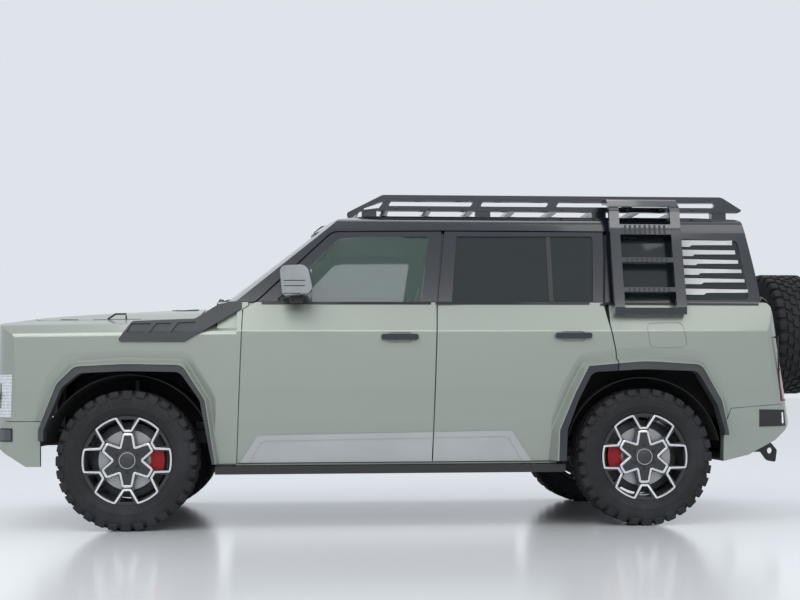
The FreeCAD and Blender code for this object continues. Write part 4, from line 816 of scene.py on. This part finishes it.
def build_side_trim():
    """Stripes, strips and bars of both sides, and the parts at the bumpers' sides."""
    for side, sign in SIDES:
        quarter_stripes(side, sign)
        door_strips(side, sign)
        bumper_marks(side, sign)


def build_hood_trim():
    """Black edge strips, lines, vents and loops of the hood."""
    hood = skin("hood")
    edges, vents, loops = Form(), Form(), Form()
    for sign in (1, -1):
        lay(edges, hood, "z", 1, [(2.174, sign * 0.7, sign * 0.745), (2.069, sign * 0.712, sign * 0.752)])
        lay(vents, hood, "z", 1, span(1.984, 1.703, sign * 0.716, sign * 0.722), 0.002)
        lay(vents, hood, "z", 1, [(1.56, sign * 0.25, sign * 0.36), (1.5, sign * 0.225, sign * 0.385),
                                  (1.35, sign * 0.225, sign * 0.385)], 0.004)
        front, back = [drop_on(hood, x, sign * 0.7) for x in (1.899, 1.791)]
        top = [front + Vector((-0.045, 0, 0.03)), back + Vector((0.003, 0, 0.03))]
        loops.tube([front] + top + [back], 0.006, 8)
    edges.trim("hood_edge_strips", "hood")
    vents.trim("hood_vents", "hood")
    loops.trim("hood_loops", "hood")


def build_wipers():
    """Two wipers, each a blade that follows the glass and an arm to its pivot."""
    glass = skin("windscreen", "cowl_panel")
    foot_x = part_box("windscreen")[1].x - 0.075
    steps = 8
    form = Form()
    for y0, y1 in ((0.56, 0.03), (-0.06, -0.6)):
        blade = []
        for k in range(steps + 1):
            place = drop_on(glass, foot_x - 0.05 * k / steps, y0 + (y1 - y0) * k / steps)
            blade.append(place + Vector((0.006, 0, 0.01)))
        form.tube(blade, 0.0055, 8)
        pivot = blade[-1] + Vector((0.075, 0.06, -0.03))
        middle = blade[steps // 2]
        form.tube([pivot, pivot.lerp(middle, 0.5) + Vector((0, 0, 0.022)), middle + Vector((0, 0, 0.01))],
                  0.0065, 8)
    form.trim("wipers")


def build_mirror_trim():
    """Lines across the mirrors' caps, their glass and their black feet."""
    for side, sign in SIDES:
        name, door = "mirror_" + side, "door_front_" + side
        low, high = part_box(name)
        cap = skin(name)
        form = Form()
        for z in (1.346, 1.39, 1.42):
            lay(form, cap, "y", sign, span(high.x - 0.022, low.x + 0.04, z - 0.0022, z + 0.0022),
                0.0012, 0.02, 1)
        form.trim("mirror_lines_" + side, door)
        form = Form()
        y0, y1 = sorted((sign * 0.955, sign * 1.085))
        form.box(low.x - 0.0005, low.x + 0.012, y0, y1, low.z + 0.052, high.z - 0.022, 0.006)
        form.finish("mirror_glass_" + side, lamp_dark, "dark_plastic", door)
        form = Form()
        y0, y1 = sorted((sign * 0.9, sign * 1.013))
        form.box(high.x - 0.131, high.x - 0.055, y0, y1, 1.302, 1.348, 0.008)
        form.trim("mirror_foot_" + side, door)


CUSHION_LEAN = -4.0
BACK_LEAN = 75.7
# Seats: name, x, y, width, y places of the headrests, channels, height of the floor under it, node
SEATS = (
    ("seat_left", 0.323, 0.41, 0.49, (0.41,), (-0.45, 0.45), 0.512, "front_seats"),
    ("seat_right", 0.323, -0.41, 0.49, (-0.41,), (-0.45, 0.45), 0.512, None),
    ("bench", -0.587, 0.0, 1.34, (-0.43, 0.0, 0.43), (-0.66, -0.33, 0.0, 0.33, 0.66), 0.52, "rear_bench"),
)


def cushion(form, place, half, lean, channels=(), pull=0.06, cross=()):
    """Crowned pad with channels sewn at shares of its half sizes; gives back the line round its edge."""
    turn = Matrix.Translation(Vector(place)) @ Matrix.Rotation(math.radians(lean), 4, "Y")
    a, b, c = half
    count, seam, depth = 40, 0.007, 0.01

    def spot(u, v, height):
        x = a * u * (1.0 - pull * (1.0 - v * v))
        return turn @ Vector((x, b * v * (1.0 - pull * (1.0 - u * u)), height))

    tops, lows = [], []
    for i in range(count + 1):
        u = -1.0 + 2.0 * i / count
        top_row, low_row = [], []
        for j in range(count + 1):
            v = -1.0 + 2.0 * j / count
            edge = max(0.0, (1.0 - u ** 6) * (1.0 - v ** 6)) ** 0.42
            crown = 0.8 + 0.2 * (1.0 - u * u) * (1.0 - v * v)
            gaps = [(v - mark) * b for mark in channels] + [(u - mark) * a for mark in cross]
            dip = max([math.exp(-(gap / seam) ** 2) for gap in gaps], default=0.0)
            top_row.append(form.bm.verts.new(spot(u, v, c * edge * crown - depth * dip * edge)))
            low_row.append(form.bm.verts.new(spot(u, v, -0.75 * c * edge)))
        tops.append(top_row)
        lows.append(low_row)
    for grid in (tops, lows):
        for i in range(count):
            for j in range(count):
                form.face((grid[i][j], grid[i + 1][j], grid[i + 1][j + 1], grid[i][j + 1]))
    run = [-1.0 + 0.125 * k for k in range(16)]
    border = [(-1.0, t) for t in run] + [(t, 1.0) for t in run] + [(1.0, -t) for t in run]
    border += [(-t, -1.0) for t in run]
    return [spot(u, v, 0.0) for u, v in border]


def soft_piece(form, name):
    """Finish a leather pad."""
    made = form.finish(name, leather, "seat_leather", smooth=60.0)
    return made


def seat_pads(name, x, y, spread, channels):
    """Cushion and back of a seat, each with piping round it; gives back the cushion."""
    made = []
    for part, place, half, lean, across in (
        ("cushion", (x + 0.02, y, 0.748), (0.262, spread, 0.08), CUSHION_LEAN, ()),
        ("back", (x - 0.257, y, 0.997), (0.275, spread, 0.07), BACK_LEAN, (-0.35, 0.3)),
    ):
        form = Form()
        border = cushion(form, place, half, lean, channels, 0.05, across)
        made.append(soft_piece(form, "%s_%s" % (name, part)))
        edge = Form()
        edge.tube(border, 0.0032, 6, closed=True)
        edge.finish("%s_%s_piping" % (name, part), thread, "seat_leather")
    return made[0]


def seat_bolsters(name, x, y, spread):
    """Raised sides of a front seat."""
    for side, sign in SIDES:
        form = Form()
        middle = y + sign * (spread - 0.035)
        cushion(form, (x + 0.02, middle, 0.785), (0.225, 0.042, 0.055), CUSHION_LEAN)
        cushion(form, (x - 0.225, middle, 0.985), (0.235, 0.042, 0.06), BACK_LEAN)
        soft_piece(form, "%s_bolster_%s" % (name, side))


def seat_headrests(name, x, heads):
    """Headrests at some y places, on two posts each."""
    posts = Form()
    for k, head in enumerate(heads):
        form = Form()
        cushion(form, (x - 0.325, head, 1.352), (0.098, 0.128, 0.05), 80.0, (), 0.05)
        soft_piece(form, "%s_headrest_%d" % (name, k))
        for shift in (-0.055, 0.055):
            posts.tube([(x - 0.3, head + shift, 1.2), (x - 0.322, head + shift, 1.3)], 0.007, 10)
    posts.finish(name + "_posts", silver, "seat_leather")


def seat_base(name, x, y, spread, floor):
    """Hard base on the floor, with the two tubes and the bar that hold the back."""
    form = Form()
    form.box(x - 0.18, x + 0.2, y - spread + 0.05, y + spread - 0.05, floor, 0.7, 0.02)
    lean = Vector((-0.256, 0.0, 0.967))
    inset = spread - 0.045
    for side in (y - inset, y + inset):
        bend = Vector((x - 0.265, side, 0.69))
        form.tube([(x - 0.245, side, 0.69), bend + lean * 0.26, bend + lean * 0.52], 0.016, 10)
    form.box(x - 0.225, x - 0.17, y - inset, y + inset, 0.61, 0.7, 0.01)
    form.finish(name + "_base", cabin_plastic, "cabin_plastic")


def build_seats():
    """Front seats and rear bench as sewn leather cushions on hard bases."""
    for name, x, y, width, heads, channels, floor, node in SEATS:
        pad = seat_pads(name, x, y, 0.5 * width, channels)
        if len(heads) == 1:
            seat_bolsters(name, x, y, 0.5 * width)
        seat_headrests(name, x, heads)
        seat_base(name, x, y, 0.5 * width, floor)
        if node:
            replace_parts(pad, node)


def build_dash(foot):
    """Screen, instrument hood, shelf and vents, placed from the dashboard's foot."""
    form = Form()
    form.box(foot - 0.405, foot - 0.385, -0.165, 0.165, 1.175, 1.345, 0.008)
    form.finish("centre_screen", screen_black, "cabin_plastic")
    form = Form()
    form.box(foot - 0.4, foot - 0.33, 0.235, 0.545, 1.205, 1.3, 0.018)
    form.box(foot - 0.33, foot - 0.25, -0.7, -0.2, 1.215, 1.245, 0.01)
    for y in (-0.66, -0.25, 0.2, 0.62):
        for k in range(4):
            z = 1.08 + 0.018 * k
            form.box(foot - 0.432, foot - 0.395, y - 0.055, y + 0.055, z, z + 0.006, 0.002)
    form.finish("dash_trim", cabin_plastic, "cabin_plastic")


def build_selector(foot):
    """Gear selector on the console."""
    form = Form()
    form.tube([(foot - 0.66, 0.0, 0.86), (foot - 0.675, 0.0, 0.905), (foot - 0.7, 0.0, 0.945)], 0.016, 14)
    form.turn([(0.0005, -0.02), (0.024, -0.016), (0.03, 0.004), (0.024, 0.024), (0.0005, 0.03)], 24,
              (foot - 0.7, 0.0, 0.955), "z")
    form.finish("gear_selector", leather, "cabin_plastic")


def build_steering_wheel(foot):
    """Steering wheel on its tilted column: rim, hub, three spokes and column cover."""
    column = Vector((foot - 0.56, 0.39, 1.12))
    back, up = polar(1.0, 24.0)
    tilt = Vector((-back, 0, up))
    turn = Matrix.Translation(column) @ Vector((0, 0, 1)).rotation_difference(tilt).to_matrix().to_4x4()
    rim_radius, grip_radius, sides = 0.176, 0.014, 14
    grip = [polar(grip_radius, 360.0 * k / sides) for k in range(sides)]
    form = Form()
    form.turn([(rim_radius + r, h) for r, h in grip], 64, axis="z")
    form.turn([(0.0005, -0.038), (0.052, -0.036), (0.062, -0.02), (0.056, -0.004), (0.03, 0.004),
               (0.0005, 0.006)], 32, axis="z")
    for angle in (90.0, -90.0, 180.0):
        form.tube([polar(r, angle) + (z,) for r, z in ((0.045, -0.018), (0.11, -0.014), (0.17, -0.002))],
                  0.012, 10)
    form.turn([(0.0005, -0.2), (0.025, -0.2), (0.025, -0.03), (0.0005, -0.03)], 20, axis="z")
    wheel = form.finish("steering_wheel_detail", leather, "cabin_plastic", "steering_wheel", turn)
    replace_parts(wheel, "steering_wheel")


def build_cabin():
    """Dashboard's parts, gear selector and steering wheel."""
    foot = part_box("dashboard")[1].x - 0.036
    build_dash(foot)
    build_selector(foot)
    build_steering_wheel(foot)


def build_rack():
    """Rubber strips across the roof rack and bolts along its rails."""
    front_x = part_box("roof_rack")[1].x
    rack = skin("roof_rack")
    form = Form()
    for k in range(8):
        x = FRONT_X - 1.498 - 0.262 * k
        lay(form, rack, "z", 1, span(x + 0.009, x - 0.009, -0.5, 0.5), 0.003, 0.2, 24)
    form.trim("rack_strips")
    form = Form()
    length, rail_y = 0.006, 0.55
    bolt = [(0.0004, 0.0), (0.009, 0.0), (0.009, 0.004), (0.005, length), (0.0004, length)]
    for sign in (1, -1):
        for k in range(10):
            start = Vector((front_x - 0.3 - 0.205 * k, sign * 3.0, 1.905))
            hit = rack.ray_cast(start, Vector((0, -sign, 0)))[0]
            if hit is not None and abs(hit.y) > rail_y:
                form.turn(bolt, 12, (hit.x, hit.y if sign > 0 else hit.y - length, hit.z))
    form.finish("rack_bolts", steel, "dark_plastic")


def build_step_treads():
    """Ribs across the tread of both sill steps."""
    steps = skin("sill_steps")
    low, high = (v.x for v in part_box("sill_steps"))
    count, inset = 46, 0.05
    for side, sign in SIDES:
        form = Form()
        for k in range(count):
            x = high - inset - (high - low - 2.0 * inset) * k / (count - 1)
            lay(form, steps, "z", 1, span(x + 0.007, x - 0.007, sign * 0.815, sign * 0.915), 0.002, 0.05, 1)
        form.trim("step_treads_" + side)


def build_headlamp(side, sign):
    """Dark bezel and three round eyes of a headlamp."""
    front = skin("headlamps")
    patch("headlamp_bezel_" + side, front, "x", 1,
          span(sign * 0.655, sign * 0.88, 0.7, 0.842), 0.003, 0.03, 2, (lamp_dark, "lamp_clear"))
    form = Form()
    for y in (0.705, 0.785, 0.862):
        hit = front.ray_cast(Vector((4.0, sign * y, 0.771)), Vector((-1, 0, 0)))[0]
        form.turn([(0.0005, -0.004), (0.03, -0.004), (0.033, 0.006), (0.03, 0.009), (0.026, 0.006),
                   (0.018, 0.0075), (0.0005, 0.01)], 28, (hit.x - 0.002, sign * y, 0.771), "x")
    form.finish("headlamp_eyes_" + side, lamp_clear, "lamp_clear")


def build_tail_lamp_frame(side, sign):
    """Black bars across and along a tail lamp."""
    rear = skin("tail_lamps")
    form = Form()
    for z0, z1 in ((0.724, 0.733), (1.1, 1.111), (0.908, 0.918)):
        lay(form, rear, "x", -1, span(sign * 0.802, sign * 0.92, z0, z1), 0.003, 0.03, 1)
    for y in (0.802, 0.912):
        lay(form, rear, "x", -1, [(sign * y, 0.724, 1.11), (sign * (y + 0.01), 0.724, 1.11)],
            0.003, 0.05, 10)
    form.trim("tail_lamp_frame_" + side)


def build_lamps():
    """Headlamps' insides and tail lamps' frames."""
    for side, sign in SIDES:
        build_headlamp(side, sign)
        build_tail_lamp_frame(side, sign)


def build_tailgate_trim():
    """High brake light and the handle in its seat."""
    gate = skin("tailgate")
    patch("high_brake_light", gate, "x", -1, span(-0.175, 0.175, 1.742, 1.762), 0.004, 0.05, 1,
          (lamp_red, "lamp_red"), "tailgate")
    patch("tailgate_handle_seat", gate, "x", -1, span(0.56, 0.68, 1.03, 1.075), 0.006, 0.04,
          body="tailgate")
    hit = gate.ray_cast(Vector((-4.0, 0.62, 1.052)), Vector((1, 0, 0)))[0]
    form = Form()
    form.box(hit.x - 0.02, hit.x - 0.004, 0.568, 0.672, 1.04, 1.066, 0.005)
    form.finish("tailgate_handle", black_paint, "dark_paint", "tailgate")


def build_ladder_grips():
    """Upright ribs on the side ladder's three steps."""
    ladder = skin("side_ladder")
    form = Form()
    for z0, z1 in ((1.372, 1.4), (1.552, 1.582), (1.724, 1.786)):
        for k in range(9):
            x = -1.185 - 0.03 * k
            lay(form, ladder, "y", 1, span(x + 0.006, x - 0.006, z0 + 0.004, z1 - 0.004), 0.002, 0.05, 1)
    form.trim("ladder_grips")


RADIATOR_X = 2.16
RADIATOR_HALF = 0.575


def build_radiator():
    """Radiator with its core, tubes and frame, seen through the grille."""
    form = Form()
    core_x, core_half = RADIATOR_X + 0.01, RADIATOR_HALF - 0.015
    form.box(core_x, core_x + 0.006, -core_half, core_half, 0.56, 1.02, 0.002)
    for z in (0.56, 1.0):
        form.box(RADIATOR_X, RADIATOR_X + 0.055, -RADIATOR_HALF, RADIATOR_HALF, z, z + 0.034, 0.008)
    for y in (-RADIATOR_HALF, RADIATOR_HALF - 0.03):
        form.box(RADIATOR_X, RADIATOR_X + 0.052, y, y + 0.03, 0.57, 1.02, 0.006)
    form.trim("radiator_frame")
    form = Form()
    tube_half = RADIATOR_HALF - 0.032
    for k in range(24):
        z = 0.606 + 0.0165 * k
        form.box(RADIATOR_X + 0.02, RADIATOR_X + 0.042, -tube_half, tube_half, z, z + 0.0065, 0.0015)
    form.finish("radiator_tubes", steel, "running_steel")


def build_load_shade_panels():
    """Panels of the load space, made near black as painted shade for the dark inside of the body, cut out
    round the rear wheel-arch liners.
    """
    front, rear, top, radius = -0.7, -1.8, 1.04, 0.4682
    start, sweep, steps = 150.9, 121.8, 24
    for side, sign in SIDES:
        arc = []
        for k in range(steps + 1):
            x, z = polar(radius, start - sweep * k / steps)
            arc.append((REAR_X + x, TYRE_RADIUS + z))
        outline = [(rear, arc[0][1])] + arc + [(front, arc[-1][1]), (front, top), (rear, top)]
        form = Form()
        form.prism(outline, "y", *sorted((sign * 0.715, sign * 0.72)))
        # The near-black plastic here is painted shade: it darkens the gap above the rear arch, where the
        # inside of the body lies in shade.
        form.finish("load_shade_panel_" + side, liner_plastic, "cabin_plastic")


def build_shields():
    """Steel shields behind the brake discs of the four road wheels."""
    for name in WHEELS:
        if name == "spare":
            continue
        end, side = name.split("_")
        body = "body" if end == "rear" else "knuckle_" + side
        form = Form()
        form.turn([(0.07, 0.002), (0.212, 0.002), (0.216, 0.006), (0.212, 0.0075), (0.07, 0.005)], 64)
        form.finish("disc_shield_" + name, steel, "running_steel", body, wheel_matrix(name))


# Lamps, in metres and watts: name, place, size, power, what it points at
LAMPS = (
    ("strip", (0.3, 9.4, 4.9), (11.0, 1.5), 200.0, (0, 0.9, 1.1)),
    ("key", (3.5, 5.5, 7.0), (5.0, 5.0), 220.0, (0, 0, 0.8)),
    ("fill", (-5.0, 6.5, 8.5), (5.0, 5.0), 120.0, (0, 0, 0.8)),
    ("top", (0.0, -1.5, 8.0), (6.0, 6.0), 140.0, (0, 0, 0.8)),
)
LAMP_COLOR = (1.0, 0.985, 0.96)
SKY_COLOR = (0.86, 0.9, 0.96, 1.0)
SKY_STRENGTH = 0.86
FLOOR_HALF = 180.0


def build_floor():
    """Pale glossy floor that reaches to the horizon."""
    mesh = bpy.data.meshes.new("floor")
    half = FLOOR_HALF
    mesh.from_pydata([(-half, -half, 0), (half, -half, 0), (half, half, 0), (-half, half, 0)], [],
                     [(0, 1, 2, 3)])
    floor = show("floor", mesh)
    n = Nodes("floor")
    n.set(roughness=0.16, specular_ior_level=0.6)
    n.link(n.ramp(n.noise(0.8), (0.7, 0.72, 0.74), (0.72, 0.74, 0.76)), "Base Color")
    mesh.materials.append(n.material)


def light_scene():
    """Pale world and soft lamps."""
    world = bpy.data.worlds.new("pale sky")
    bpy.context.scene.world = world
    world.use_nodes = True
    sky = world.node_tree.nodes["Background"]
    sky.inputs["Color"].default_value = SKY_COLOR
    sky.inputs["Strength"].default_value = SKY_STRENGTH
    for name, place, size, power, target in LAMPS:
        lamp = bpy.data.lights.new(name, "AREA")
        lamp.shape = "RECTANGLE"
        lamp.size, lamp.size_y = size
        lamp.energy = power
        lamp.color = LAMP_COLOR
        made = show(name, lamp)
        made.location = place
        made.rotation_euler = (Vector(target) - Vector(place)).to_track_quat("-Z", "Y").to_euler()
    bpy.context.scene.view_settings.view_transform = "Standard"


place_camera()
finish_nodes()
build_wheels()
build_side_trim()
build_hood_trim()
build_wipers()
build_mirror_trim()
build_seats()
build_cabin()
build_rack()
build_step_treads()
build_lamps()
build_tailgate_trim()
build_ladder_grips()
build_radiator()
build_load_shade_panels()
build_shields()
build_floor()
light_scene()
